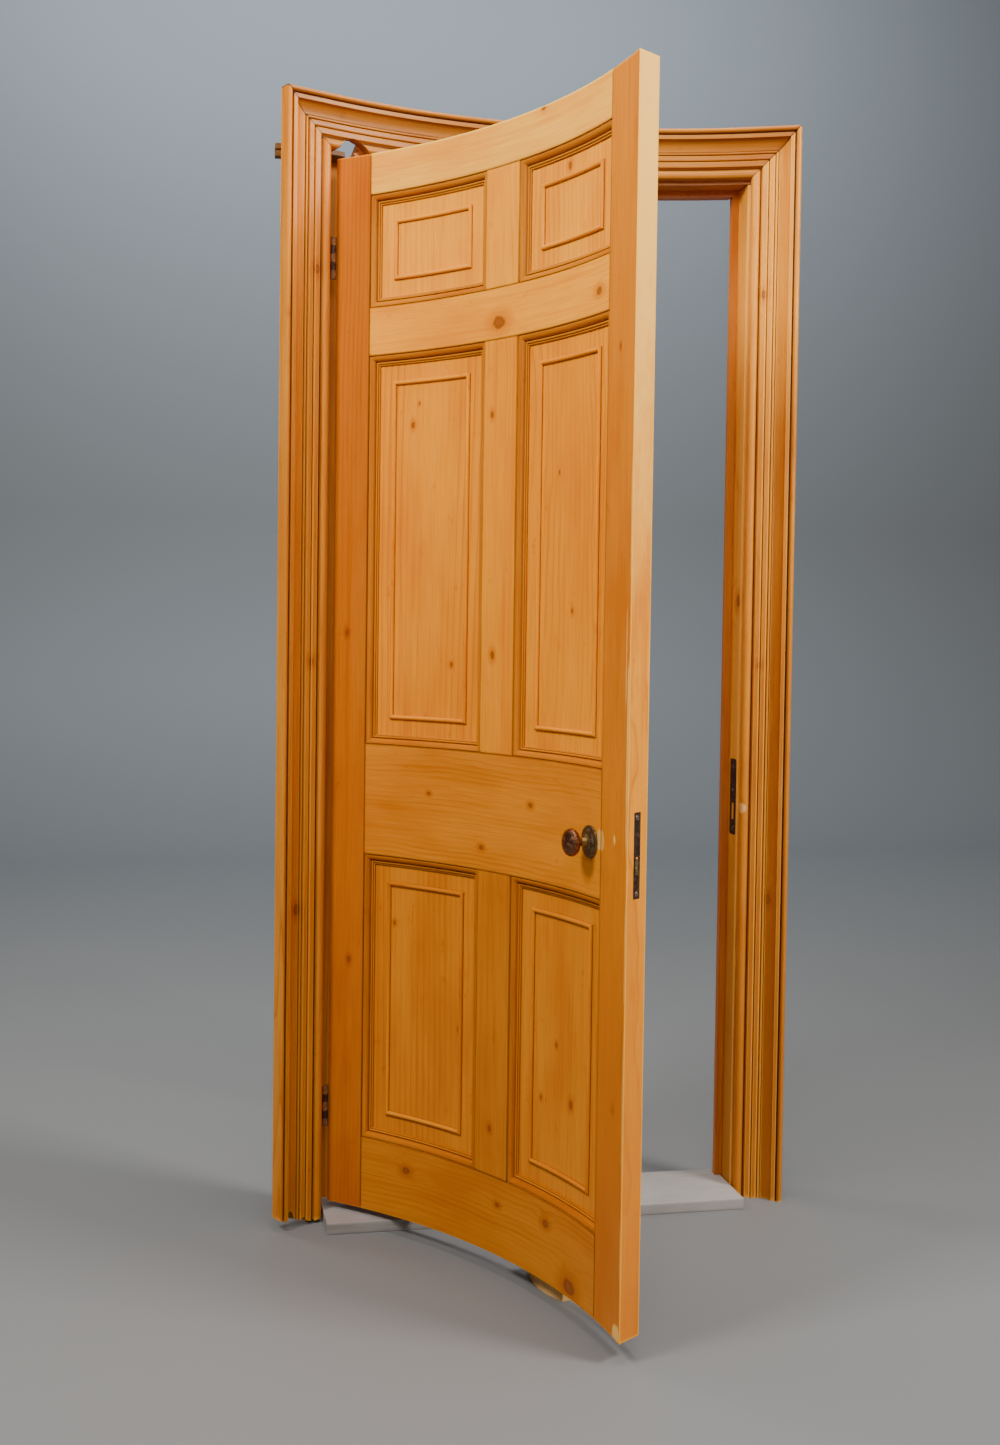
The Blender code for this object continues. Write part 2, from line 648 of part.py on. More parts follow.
for row, low, high in rows:
    middle_ends = fit(columns[0][1], columns[1][0])
    bm = panel_sector(*middle_ends, 0, DOOR_THICK, *fit(low, high))
    leaf_piece(f"muntin_{row}", bm, HONEY, 0.35)
    for column, (start, end) in zip(("left", "right"), columns):
        name = f"{row}_{column}"
        back = PANEL_SUNK + PANEL_THICK
        bm = panel_sector(*fit(start, end), PANEL_SUNK, back, *fit(low, high))
        leaf_piece(f"panel_{name}", bm, HONEY, 0.3)
        centre = ((start + end) / 2, (low + high) / 2)
        size = (end - start - 2 * GAP, high - low - 2 * GAP)
        leaf_piece(f"moulding_{name}", ring(centre, size, half_round), AMBER, 0.35, smooth=35)
        size = (end - start - 2 * BEAD_INSET, high - low - 2 * BEAD_INSET)
        leaf_piece(f"bead_{name}", ring(centre, size, bead), HONEY, 0.35, smooth=35)

# The lock's forend let into the closing edge, with its latch bolt
forend_width, forend_height, forend_thick = FOREND
forend_z = z_low + FOREND_Z
edge_middle = closing + edge_in * DOOR_THICK / 2 * 1.08


def on_edge(across, outward, z):
    return edge_middle + edge_in * across + edge_out * outward + Vector((0, 0, z))


def edge_block(width, height, outer, inner, z):
    """A block square to the closing edge, between two depths from its face."""
    outline = [
        on_edge(-width / 2, outer, z - height / 2),
        on_edge(width / 2, outer, z - height / 2),
        on_edge(width / 2, inner, z - height / 2),
        on_edge(-width / 2, inner, z - height / 2),
    ]
    return prism(outline, Vector((0, 0, height)))


room = 2 * GAP
bm = edge_block(forend_width + room, forend_height + room, GAP * 10, -forend_thick - GAP, forend_z)
bmesh.ops.translate(bm, verts=bm.verts[:], vec=-PIVOT)
cut_by(lock_stile, "cut_forend_seat", bm)
bm = edge_block(forend_width, forend_height, 0, -forend_thick, forend_z)
forend = leaf_piece("lock_forend", bm, IRON, 0.5, 0.8)
latch_z = forend_z - LATCH_DOWN
latch_width, latch_height = LATCH
bm = edge_block(latch_width + room, latch_height + room, GAP * 10, -2 * forend_thick, latch_z)
bmesh.ops.translate(bm, verts=bm.verts[:], vec=-PIVOT)
cut_by(forend, "cut_latch_mouth", bm)
keyway_width, keyway_height = KEYWAY
bm = edge_block(keyway_width, keyway_height, GAP * 10, -2 * forend_thick, forend_z + KEYWAY_UP)
bmesh.ops.translate(bm, verts=bm.verts[:], vec=-PIVOT)
cut_by(forend, "cut_keyway", bm)
bm = edge_block(latch_width, latch_height, LATCH_PROUD, -forend_thick, latch_z)
leaf_piece("latch_bolt", bm, DULL_BRASS, 0.35, 0.9)

# The knobs on their roses, one each side on a common spindle line
knob_angle = (HALF_ARC - KNOB_BACKSET) / FACE_RADIUS
rose_profile = [
    (0, ROSE_THICK),
    (NECK_RADIUS * 1.3, ROSE_THICK),
    (NECK_RADIUS * 1.6, ROSE_THICK * 0.72),
    (ROSE_RADIUS * 0.72, ROSE_THICK * 0.44),
    (ROSE_RADIUS * 0.97, ROSE_THICK * 0.33),
    (ROSE_RADIUS, ROSE_THICK * 0.2),
    (ROSE_RADIUS, 0),
    (0, 0),
]
seat = ROSE_THICK + GAP
belly = seat + NECK_LENGTH
knob_profile = [(0, belly + KNOB_THICK)]
for step in range(1, 10):
    turn = math.pi * step / 10
    radius = KNOB_RADIUS * math.sin(turn) ** 0.8
    height = belly + KNOB_THICK / 2 + KNOB_THICK / 2 * math.cos(turn)
    if radius > NECK_RADIUS:
        knob_profile.append((radius, height))
knob_profile += [
    (NECK_RADIUS, belly + KNOB_THICK * 0.02),
    (NECK_RADIUS * 0.9, seat + NECK_LENGTH * 0.6),
    (NECK_RADIUS * 1.15, seat),
    (0, seat),
]
rise = FACE_RADIUS - math.sqrt(FACE_RADIUS**2 - ROSE_RADIUS**2)
for name, off, toward in (("front", -rise - GAP, -1), ("back", DOOR_THICK + GAP, 1)):
    spot = on_arc(knob_angle, FACE_RADIUS + off, z_low + KNOB_Z) - PIVOT
    radial = Vector((math.sin(knob_angle), math.cos(knob_angle), 0)) * toward
    place = Matrix.Translation(spot) @ radial.to_track_quat("Z", "Y").to_matrix().to_4x4()
    turned(f"rose_{name}", rose_profile, DULL_BRASS, 0.4, 0.9, swing, place)
    turned(f"knob_{name}", knob_profile, BRONZE, 0.3, 0.9, swing, place)

# The hinges: two leaves in the gap beside the leaf, their knuckles on one pin
knuckle = HINGE_HEIGHT / KNUCKLES
comb_gap = KNUCKLE_RADIUS + PIN_CLEAR


def hinge_flap(x_near, x_far, start, first, low):
    """A comb-edged plate beside the pin, cut back where the other flap's knuckles turn."""
    clear = math.sqrt(max(comb_gap**2 - min(abs(x_near), abs(x_far)) ** 2, 0)) + PIN_CLEAR
    outline = [Vector((x_near, LEAF_DEPTH, low)), Vector((x_near, LEAF_DEPTH, low + HINGE_HEIGHT))]
    for i in reversed(range(KNUCKLES)):
        mine = i % 2 == first
        depth = start if mine else clear
        shrink = GAP / 2 if mine else -GAP / 2
        top = low + (i + 1) * knuckle - (shrink if i < KNUCKLES - 1 else 0)
        bottom = low + i * knuckle + (shrink if i else 0)
        outline.append(Vector((x_near, depth, top)))
        outline.append(Vector((x_near, depth, bottom)))
    return prism(outline, Vector((x_far - x_near, 0, 0)))


def hinge_knuckle(low, index):
    bm = bmesh.new()
    height = knuckle - GAP
    bmesh.ops.create_cone(
        bm, cap_ends=True, segments=14, radius1=KNUCKLE_RADIUS, radius2=KNUCKLE_RADIUS, depth=height
    )
    bmesh.ops.translate(bm, verts=bm.verts[:], vec=(0, 0, low + (index + 0.5) * knuckle))
    return bm


def join(obj, name, bm):
    """A Boolean union of the object with a closed shape."""
    other = cut_by(obj, name, bm)
    obj.modifiers[name].operation = "UNION"
    return other


for name, centre in (("top", DOOR_TOP - TOP_HINGE_DOWN), ("bottom", z_low + BOTTOM_HINGE_UP)):
    low = centre - HINGE_HEIGHT / 2
    frame_near = -REVEAL_X - PIVOT.x + GAP
    bm = hinge_flap(frame_near, frame_near + LEAF_THICK, 0, 0, low)
    frame_flap = finish(f"hinge_{name}_frame_leaf", bm, IRON, 0.55, 0.8)
    frame_flap.location = PIVOT
    door_near = -DOOR_CHORD / 2 - PIVOT.x - GAP
    start = PIN_RADIUS + PIN_CLEAR * 2
    bm = hinge_flap(door_near, door_near - LEAF_THICK, start, 1, low)
    door_flap = finish(f"hinge_{name}_door_leaf", bm, IRON, 0.55, 0.8, swing)
    for index in range(KNUCKLES):
        flap = door_flap if index % 2 else frame_flap
        other = join(flap, f"join_{name}_{index}", hinge_knuckle(low, index))
        if flap is frame_flap:
            other.location = PIVOT
    for flap in (frame_flap, door_flap):
        bore = bmesh.new()
        bmesh.ops.create_cone(
            bore, cap_ends=True, segments=14, radius1=PIN_RADIUS + PIN_CLEAR,
            radius2=PIN_RADIUS + PIN_CLEAR, depth=HINGE_HEIGHT + 0.01,
        )
        bmesh.ops.translate(bore, verts=bore.verts[:], vec=(0, 0, centre))
        cutter = cut_by(flap, f"bore_{flap.name}", bore)
        if flap is frame_flap:
            cutter.location = PIVOT
    pin = bmesh.new()
    bmesh.ops.create_cone(
        pin, cap_ends=True, segments=14, radius1=PIN_RADIUS, radius2=PIN_RADIUS,
        depth=HINGE_HEIGHT - 2 * GAP,
    )
    bmesh.ops.translate(pin, verts=pin.verts[:], vec=(0, 0, centre))
    finish(f"hinge_{name}_pin", pin, IRON, 0.5, 0.8, smooth=40).location = PIVOT

# The keep plate let into the right-hand reveal
keep_depth, keep_height, keep_thick = KEEP
keep_y = JAMB_FRONT_Y + KEEP_FRONT
keep_z = latch_z + KEEP_UP - keep_height / 2
low = Vector((REVEAL_X - 0.002, keep_y - GAP, keep_z - GAP))
high = Vector((REVEAL_X + keep_thick + GAP, keep_y + keep_depth + GAP, keep_z + keep_height + GAP))
cut_by(right, "cut_keep_seat", box(low, high))
low = Vector((REVEAL_X, keep_y, keep_z))
high = Vector((REVEAL_X + keep_thick, keep_y + keep_depth, keep_z + keep_height))
keep = finish("keep_plate", box(low, high), IRON, 0.6, 0.7)
mouth_width, mouth_height = KEEP_MOUTH
mouth_y = keep_y + keep_depth / 2
low = Vector((REVEAL_X - 0.002, mouth_y - mouth_width / 2, latch_z - mouth_height / 2))
high = Vector((REVEAL_X + 0.01, mouth_y + mouth_width / 2, latch_z + mouth_height / 2))
cut_by(keep, "cut_keep_mouth", box(low, high))
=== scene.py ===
import math

import bmesh
import bpy
from mathutils import Matrix, Vector, noise


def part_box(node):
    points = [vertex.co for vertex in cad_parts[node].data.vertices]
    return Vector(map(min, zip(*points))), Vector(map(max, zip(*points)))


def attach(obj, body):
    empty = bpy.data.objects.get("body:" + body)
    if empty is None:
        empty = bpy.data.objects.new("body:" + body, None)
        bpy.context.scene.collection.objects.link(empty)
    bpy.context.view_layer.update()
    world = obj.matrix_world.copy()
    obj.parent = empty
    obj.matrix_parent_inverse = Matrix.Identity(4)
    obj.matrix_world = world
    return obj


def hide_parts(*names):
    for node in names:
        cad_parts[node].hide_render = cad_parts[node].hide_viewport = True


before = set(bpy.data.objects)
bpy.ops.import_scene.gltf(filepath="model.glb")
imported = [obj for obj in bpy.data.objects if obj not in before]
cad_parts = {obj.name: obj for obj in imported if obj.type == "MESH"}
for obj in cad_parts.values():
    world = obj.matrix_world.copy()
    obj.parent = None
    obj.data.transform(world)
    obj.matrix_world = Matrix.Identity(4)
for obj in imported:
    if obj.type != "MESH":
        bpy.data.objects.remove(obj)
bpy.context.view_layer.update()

# The studio: a plain pale floor that bends up into a backdrop well behind the
# surround, soft lights from windows and ceiling, and the camera at the
# photograph's place and angle. None of it is part of the object.
EYE = Vector((-0.746, -3.2705, 1.1781))
EYE_TURN, EYE_DROP, EYE_ROLL = math.radians(12.106), math.radians(2.095), math.radians(0.788)
FLOOR_FRONT, FLOOR_BACK, HALF_WIDE = -30.0, 5.0, 30.0
BEND, WALL_TOP, BEND_STEPS = 1.8, 8.0, 12
DAYLIGHT = (1, 0.98, 0.95)

ahead = Vector((math.sin(EYE_TURN), math.cos(EYE_TURN), -math.tan(EYE_DROP))).normalized()
level = Vector((math.cos(EYE_TURN), -math.sin(EYE_TURN), 0))
above = level.cross(ahead)
right = level * math.cos(EYE_ROLL) + above * math.sin(EYE_ROLL)
above = above * math.cos(EYE_ROLL) - level * math.sin(EYE_ROLL)
eye = bpy.data.objects.new("eye", bpy.data.cameras.new("eye"))
bpy.context.scene.collection.objects.link(eye)
eye.matrix_world = Matrix.Translation(EYE) @ Matrix((right, above, -ahead)).transposed().to_4x4()
eye.data.lens = 41.74
eye.data.sensor_width = 36
eye.data.shift_x = -0.01098
eye.data.shift_y = -0.02623
bpy.context.scene.camera = eye

path = [(FLOOR_FRONT, 0.0), (FLOOR_BACK, 0.0)]
for step in range(1, BEND_STEPS + 1):
    turn = math.pi / 2 * step / BEND_STEPS
    path.append((FLOOR_BACK + BEND * math.sin(turn), BEND - BEND * math.cos(turn)))
path.append((FLOOR_BACK + BEND, WALL_TOP))
sweep = bmesh.new()
near, far = ([sweep.verts.new((x, y, z)) for y, z in path] for x in (-HALF_WIDE, HALF_WIDE))
for step in range(len(path) - 1):
    sweep.faces.new((near[step], far[step], far[step + 1], near[step + 1])).smooth = True
backdrop = bpy.data.objects.new("backdrop", bpy.data.meshes.new("backdrop"))
sweep.to_mesh(backdrop.data)
sweep.free()
bpy.context.scene.collection.objects.link(backdrop)
grey = bpy.data.materials.new("studio_grey")
grey.use_nodes = True
grey.node_tree.nodes["Principled BSDF"].inputs["Base Color"].default_value = (0.158, 0.158, 0.156, 1)
grey.node_tree.nodes["Principled BSDF"].inputs["Roughness"].default_value = 0.6
backdrop.data.materials.append(grey)

air = bpy.data.worlds.new("studio_air")
air.use_nodes = True
air.node_tree.nodes["Background"].inputs["Color"].default_value = (0.95, 0.97, 1.0, 1)
air.node_tree.nodes["Background"].inputs["Strength"].default_value = 0.19
bpy.context.scene.world = air


def soft_light(name, place, aim, size, power, colour=DAYLIGHT, mirrored=True):
    """A soft box that the camera doesn't see; mirrored says whether gloss shows it."""
    lamp = bpy.data.lights.new(name, "AREA")
    lamp.shape = "RECTANGLE"
    lamp.size, lamp.size_y = size
    lamp.energy = power
    lamp.color = colour
    holder = bpy.data.objects.new(name, lamp)
    bpy.context.scene.collection.objects.link(holder)
    holder.location = place
    holder.visible_camera = False
    holder.visible_glossy = mirrored
    holder.rotation_mode = "QUATERNION"
    holder.rotation_quaternion = (Vector(aim) - Vector(place)).to_track_quat("-Z", "Y")


soft_light("window_left", (-2.5, -1.7, 3.6), (-0.2, -0.3, 2.0), (0.9, 0.9), 150, mirrored=False)
soft_light("window_right", (2.4, -2.4, 3.3), (0, -0.4, 2.0), (1.1, 1.1), 205)
soft_light("front_fill", (-0.9, -3.9, 3.3), (0, -0.2, 2.1), (1.8, 1.2), 62)
soft_light("window_behind", (-2.6, 2.0, 3.2), (0.3, 0, 1.7), (1.2, 1.2), 60, mirrored=False)
soft_light("ceiling", (0.2, -0.7, 4.3), (0, -0.2, 1.0), (1.6, 1.6), 95, (1, 0.99, 0.97))
soft_light("backdrop_glow", (0.6, 4.2, 5.6), (0.8, 6.8, 3.4), (6.0, 1.0), 330, (0.72, 0.86, 1))


# Stripped pine, waxed: every board of the surround and the leaf is this timber.
# It has growth rings, knots, a drift of amber wax, pale rubbed arrises and
# brown dirt with painted shade in the quirks; "lay" holds each point's place in its own board.
KNOT_BROWN = (0.25, 0.060, 0.009)
BARK_BROWN = (0.070, 0.018, 0.004)
# a near black brown: real dirt in quirks and joints, and painted shade in hollow corners
QUIRK_DIRT_AND_SHADE = (0.060, 0.017, 0.004)
SCAR = (0.86, 0.47, 0.11)


class Wire:
    """A socket of a material's nodes that takes part in sums."""

    def __init__(self, tree, socket=None):
        self.tree = tree
        self.socket = socket

    def node(self, kind, settings=None, out=0, **values):
        """Adds a node, sets it, feeds its sockets by name (or s0, s1 by place), gives one output."""
        made = self.tree.nodes.new(kind)
        for name, value in (settings or {}).items():
            if name == "stops":
                bar = made.color_ramp
                while len(bar.elements) < len(value):
                    bar.elements.new(0.5)
                for element, (place, shade) in zip(bar.elements, value):
                    element.position = place
                    element.color = (shade, shade, shade, 1)
            else:
                setattr(made, name, value)
        for name, value in values.items():
            wanted = name.replace("_", " ").strip()
            socket = made.inputs[int(wanted[1:])] if wanted[1:].isdigit() else made.inputs[wanted]
            if isinstance(value, Wire):
                self.tree.links.new(value.socket, socket)
            elif socket.type == "RGBA" and len(value) == 3:
                socket.default_value = (*value, 1)
            else:
                socket.default_value = value
        return Wire(self.tree, made.outputs[out])

    def sum(self, operation, first, second):
        return self.node("ShaderNodeMath", {"operation": operation}, s0=first, s1=second)

    def __add__(self, other):
        return self.sum("ADD", self, other)

    __radd__ = __add__

    def __sub__(self, other):
        return self.sum("SUBTRACT", self, other)

    def __rsub__(self, other):
        return self.sum("SUBTRACT", other, self)

    def __mul__(self, other):
        return self.sum("MULTIPLY", self, other)

    __rmul__ = __mul__

    def __truediv__(self, other):
        return self.sum("DIVIDE", self, other)

    def __rtruediv__(self, other):
        return self.sum("DIVIDE", other, self)

    def __pow__(self, other):
        return self.sum("POWER", self, other)

    def fade(self, start, end, low=0.0, high=1.0):
        """Goes smoothly from low to high as this value goes from start to end."""
        settings = {"interpolation_type": "SMOOTHSTEP"}
        return self.node(
            "ShaderNodeMapRange", settings, Value=self, From_Min=start, From_Max=end,
            To_Min=low, To_Max=high,
        )

    def blend(self, first, second):
        """A colour between two, by this value."""
        settings = {"data_type": "RGBA", "clamp_factor": True}
        return self.node("ShaderNodeMix", settings, out=2, s0=self, s6=first, s7=second)

    def parts(self):
        """The three numbers of a place."""
        split = self.tree.nodes.new("ShaderNodeSeparateXYZ")
        self.tree.links.new(self.socket, split.inputs[0])
        return [Wire(self.tree, output) for output in split.outputs]

    def feed(self, shader, socket):
        self.tree.links.new(self.socket, shader.inputs[socket])


def place_of(across, depth, along):
    return across.node("ShaderNodeCombineXYZ", X=across, Y=depth, Z=along)


def clouds(place, scale, detail=2.0, rough=0.5):
    return place.node("ShaderNodeTexNoise", Vector=place, Scale=scale, Detail=detail, Roughness=rough)


def shade_of(tone, *shares):
    return tuple(min(1.0, part * share) for part, share in zip(tone, shares))


def knot_marks(across, depth, along, knots):
    """Round all knots: how far the rings bulge, the halo, the heart and the rim of bark."""
    sums = None
    for k, (x, z, radius) in enumerate(knots):
        dx = across - x
        dz = (along - z) * 0.68
        ragged = clouds(place_of(across * 90, depth, along * 60 + k), 1.0)
        apart = (dx * dx + dz * dz) ** 0.5 + (ragged - 0.5) * radius * 0.9
        marks = (
            apart.fade(radius * 0.6, radius * 5.5, radius * 1.8, 0.0),
            apart.fade(radius * 0.9, radius * 3.4, 1.0, 0.0),
            apart.fade(radius * 0.55, radius * 1.15, 1.0, 0.0),
            apart.fade(radius * 0.45, radius * 0.8) * apart.fade(radius * 0.9, radius * 1.2, 1.0, 0.0),
        )
        if sums is None:
            sums = marks
        else:
            darkest = [old.sum("MAXIMUM", old, new) for old, new in zip(sums[1:], marks[1:])]
            sums = (sums[0] + marks[0], *darkest)
    return sums


def add_stains_and_painted_light(body, across, depth, along, stains_and_painted_light):
    """Scars, soiled places and patches of painted light and shade: (across, along, half width, half
    height, colour, strength).
    """
    for x, z, wide, tall, colour, strength in stains_and_painted_light:
        dx = (across - x) / wide
        dz = (along - z) / tall
        ragged = clouds(place_of(across * 45, depth * 45, along * 18 + z), 1.0, 4.0, 0.65)
        gone = (dx * dx + dz * dz) ** 0.5 + (ragged - 0.5) * 1.1
        soft = 0.5 if tall > 0.3 else 0.0
        body = (gone.fade(0.7 - soft, 1.0 + soft, 1.0, 0.0) * strength).blend(body, colour)
    return body


def pine(name, tone, seed, knots=(), ringing=0.0095, amber=0.5, stains_and_painted_light=(), rub=1.0, wax=0.36,
         lay="lay"):
    """Waxed pine: knots are (across, along, radius) in metres on the board's face, ringing is
    the growth rings' spacing, and lay says where the board's own directions come from."""
    material = bpy.data.materials.new(name)
    material.use_nodes = True
    start = Wire(material.node_tree)
    if lay == "lay":
        at = start.node("ShaderNodeAttribute", {"attribute_name": "lay"}, out=1)
    else:
        at = start.node("ShaderNodeTexCoord", out=3)
    across, depth, along = at.parts()
    if lay == "object_across":
        across, along = along, across
    shift = seed * 1.37

    def grain(fine, long, detail=2.0, rough=0.5):
        return clouds(place_of(across * fine, depth * fine, along * long + shift), 1.0, detail, rough)

    warp, wave = grain(3.0, 0.9), grain(14, 5)
    pith = 0.016 + 0.05 * abs(math.sin(seed * 2.1))
    low = depth + pith + along * 0.030 * math.cos(seed) + (warp - 0.5) * 0.045
    side = across + (warp - 0.5) * 0.05 + (wave - 0.5) * 0.012 + 0.03 * math.sin(seed * 5.3)
    reach = (side * side + low * low) ** 0.5
    marks = knot_marks(across, depth, along, knots)
    if marks:
        reach = reach + marks[0]
    year = reach / ringing + (wave - 0.5) * 1.1
    stops = ((0.0, 0.2), (0.4, 0.05), (0.8, 0.4), (0.93, 1.0), (1.0, 0.2))
    summer = year.node("ShaderNodeValToRGB", {"stops": stops}, Fac=year.sum("FRACT", year, 0.0))
    fibre, streak = grain(420, 9, 3.0, 0.6), grain(60, 1.6, 3.0, 0.55)
    drift, band, spots = grain(7, 2.2, 3.0, 0.6), grain(13, 0.9), grain(38, 24, 3.0, 0.7)
    deep = shade_of(tone, 0.80, 0.60, 0.40)
    burnt = shade_of(tone, 0.58, 0.36, 0.22)
    body = drift.fade(0.32, 0.68).blend(shade_of(tone, 1.13, 1.26, 1.5), tone)
    body = (drift.fade(0.48, 0.80) * amber).blend(body, deep)
    body = (summer * band.fade(0.40, 0.66, 0.04, 0.6)).blend(body, burnt)
    body = (streak.fade(0.50, 0.76) * 0.5).blend(body, deep)
    body = (fibre.fade(0.35, 0.75) * 0.3).blend(body, burnt)
    body = (spots.fade(0.60, 0.80) * 0.42).blend(body, burnt)
    if marks:
        body = (marks[1] * 0.6).blend(body, shade_of(tone, 0.66, 0.42, 0.35))
        body = (marks[2] * 0.8).blend(body, KNOT_BROWN)
        body = (marks[3] * 0.4).blend(body, BARK_BROWN)
    body = add_stains_and_painted_light(body, across, depth, along, stains_and_painted_light)
    dull = wax + spots * 0.14
    if lay == "lay":
        rubbed = start.node("ShaderNodeAttribute", {"attribute_name": "rubbed"}, out=2)
        grime = start.node("ShaderNodeAttribute", {"attribute_name": "grime"}, out=2)
        chance = grain(50, 9, 4.0, 0.65)
        worn = (rubbed * rub + (chance - 0.5) * 0.9).fade(0.42, 0.72)
        body = (worn * 0.6).blend(body, shade_of(tone, 1.25, 1.65, 3.0))
        # the mesh's dark mask, real dirt with painted shade in quirks and hollow corners, takes the
        # near black brown
        dirt_and_shade = (grime + (chance - 0.5) * 0.3).fade(0.2, 0.8)
        body = (dirt_and_shade * 0.9).blend(body, QUIRK_DIRT_AND_SHADE)
        dull = dull + worn * 0.22
    shader = material.node_tree.nodes["Principled BSDF"]
    body.feed(shader, "Base Color")
    dull.feed(shader, "Roughness")
    shader.inputs["Coat Weight"].default_value = 0.04
    shader.inputs["Coat Roughness"].default_value = 0.22
    shader.inputs["Specular IOR Level"].default_value = 0.2
    height = fibre * 0.5 + summer * 0.25 + spots * 0.6
    height.node("ShaderNodeBump", Height=height, Strength=0.22, Distance=0.0009).feed(shader, "Normal")
    return material


# The doorway's linings: two square-edged boards on edge, and a head sawn to the
# curve and nailed on them. The head's left end is broken off, and its stub with
# a split horn still lies on the jamb. Arrises rubbed round by traffic.
CHORD, RADIUS, THICK = 0.840, 1.100, 0.044
LEAF_Z, LEAF_TALL = 0.036, 2.032
SIDE_CLEAR, HEAD_CLEAR, MARGIN = 0.004, 0.009, 0.007
LINING_THICK, LINING_DEPTH = 0.032, 0.070
GAP = 0.0003
LEAF_TOP = LEAF_Z + LEAF_TALL
CENTRE_Y = -math.sqrt(RADIUS**2 - (CHORD / 2) ** 2)
HALF_ANGLE = math.asin(CHORD / 2 / RADIUS)
REVEAL = CHORD / 2 + SIDE_CLEAR
HEAD_Z = LEAF_TOP + HEAD_CLEAR
JAMB_FRONT = CENTRE_Y + math.sqrt(RADIUS**2 - REVEAL**2)
TRIM_ANGLE = HALF_ANGLE + (MARGIN + SIDE_CLEAR) / RADIUS
MITRE_DIRT = 0.003
FOOT_SCUFF = 0.55
# JAMB is paler than the linings' own pine: painted light on their shaded reveals
JAMB = (0.74, 0.29, 0.022)
JAMB_LOW_DARK = (0.32, 0.095, 0.012)


def on_arc(angle, radius, z=0.0):
    return Vector((radius * math.sin(angle), CENTRE_Y + radius * math.cos(angle), z))


def dress(nodes, material):
    """Gives pieces that keep their shape their finish."""
    for node in nodes:
        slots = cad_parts[node].data.materials
        slots.clear()
        slots.append(material)


def make_piece(name, verts, faces, materials, body, node, lay=None, rubbed=None, grime=None,
               which=None):
    """A piece from its points, with each point's place in the board and its wear."""
    bm = bmesh.new()
    made = [bm.verts.new(point) for point in verts]
    for i, face in enumerate(faces):
        new = bm.faces.new([made[corner] for corner in face])
        new.smooth = True
        new.material_index = which[i] if which else 0
    bm.normal_update()
    bmesh.ops.recalc_face_normals(bm, faces=bm.faces[:])
    mesh = bpy.data.meshes.new(name)
    bm.to_mesh(mesh)
    bm.free()
    mesh.set_sharp_from_angle(angle=math.radians(35))
    if lay:
        store = mesh.attributes.new("lay", "FLOAT_VECTOR", "POINT")
        for item, place in zip(store.data, lay):
            item.vector = place
        for kind, amounts in (("rubbed", rubbed), ("grime", grime)):
            store = mesh.attributes.new(kind, "FLOAT", "POINT")
            for item, amount in zip(store.data, amounts):
                item.value = amount
    piece = bpy.data.objects.new(name, mesh)
    bpy.context.scene.collection.objects.link(piece)
    for material in materials:
        mesh.materials.append(material)
    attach(piece, body)
    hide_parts(node)


def eased(outline, ease):
    """An outline with its corners rubbed round and its hollow corners dark with dirt and painted
    shade: (x, y, rubbed, dirt and shade) per point.
    """
    count = len(outline)
    area = sum(
        outline[i][0] * outline[(i + 1) % count][1] - outline[(i + 1) % count][0] * outline[i][1]
        for i in range(count)
    )
    done = []
    for i in range(count):
        here = Vector(outline[i])
        before = Vector(outline[i - 1]) - here
        after = Vector(outline[(i + 1) % count]) - here
        bend = math.pi - before.angle(after)
        if bend < 0.42:
            done.append((here.x, here.y, 0.0, 0.0))
            continue
        convex = (before.x * after.y - before.y * after.x < 0) == (area > 0)
        cut = min(ease, before.length * 0.4, after.length * 0.4)
        # rounded outer corners are rubbed pale; hollow corners get dirt and painted shade
        beside = (0.75, 0.0) if convex else (0.0, 0.8)
        middle = (1.0, 0.0) if convex else (0.0, 1.0)
        clean = cut + 2.2 * ease
        if before.length > 6 * ease:
            done.append((*(here + before.normalized() * clean), 0.0, 0.0))
        first = here + before.normalized() * cut
        last = here + after.normalized() * cut
        done.append((*first, *beside))
        done.append((*(here * 0.5 + (first + last) * 0.25), *middle))
        done.append((*last, *beside))
        if after.length > 6 * ease:
            done.append((*(here + after.normalized() * clean), 0.0, 0.0))
    return done


def drawn_faces(rows, count, closed=False):
    """The faces of rows of points drawn along a board: closed to a ring, or with two ends."""
    faces = []
    for row in range(rows if closed else rows - 1):
        here, after = row * count, (row + 1) % rows * count
        for i in range(count):
            j = (i + 1) % count
            faces.append((here + i, here + j, after + j, after + i))
    if not closed:
        faces.append(tuple(range(count)))
        faces.append(tuple((rows - 1) * count + i for i in range(count)))
    return faces


def upright(name, outline, high, material, node, seed, step=0.03, ease=0.0016,
            foot=None, top=None, wobble=0.0004, turn=None):
    """An upright plain or moulded board: an eased plan outline drawn up in short steps, with
    scuffs at its foot and dirt in the joint at its top."""
    points = eased(outline, ease)
    steps = max(2, round(high / step))
    shares = [row / steps for row in range(steps)] + [1 - MITRE_DIRT / high, 1]
    verts, lay, rubbed, grime = [], [], [], []
    for share in shares:
        for x, y, rub, dirt_and_shade in points:
            bottom = foot(x) if foot else 0.0
            head = top(x) if top else high
            z = bottom + (head - bottom) * share
            dent = wobble * rub * (noise.noise(Vector((x * 9, y * 9, z * 14 + seed))) - 0.2)
            spot = (x * (1 - dent), y, z)
            verts.append(turn(*spot) if turn else Vector(spot))
            lay.append((x, y, z) if turn else (y, x, z))
            rubbed.append(max(rub, 0.0 if share else FOOT_SCUFF))
            grime.append(1.0 if share == 1 else dirt_and_shade)
    make_piece(name, verts, drawn_faces(len(shares), len(points)), [material], "surround",
               node, lay, rubbed, grime)


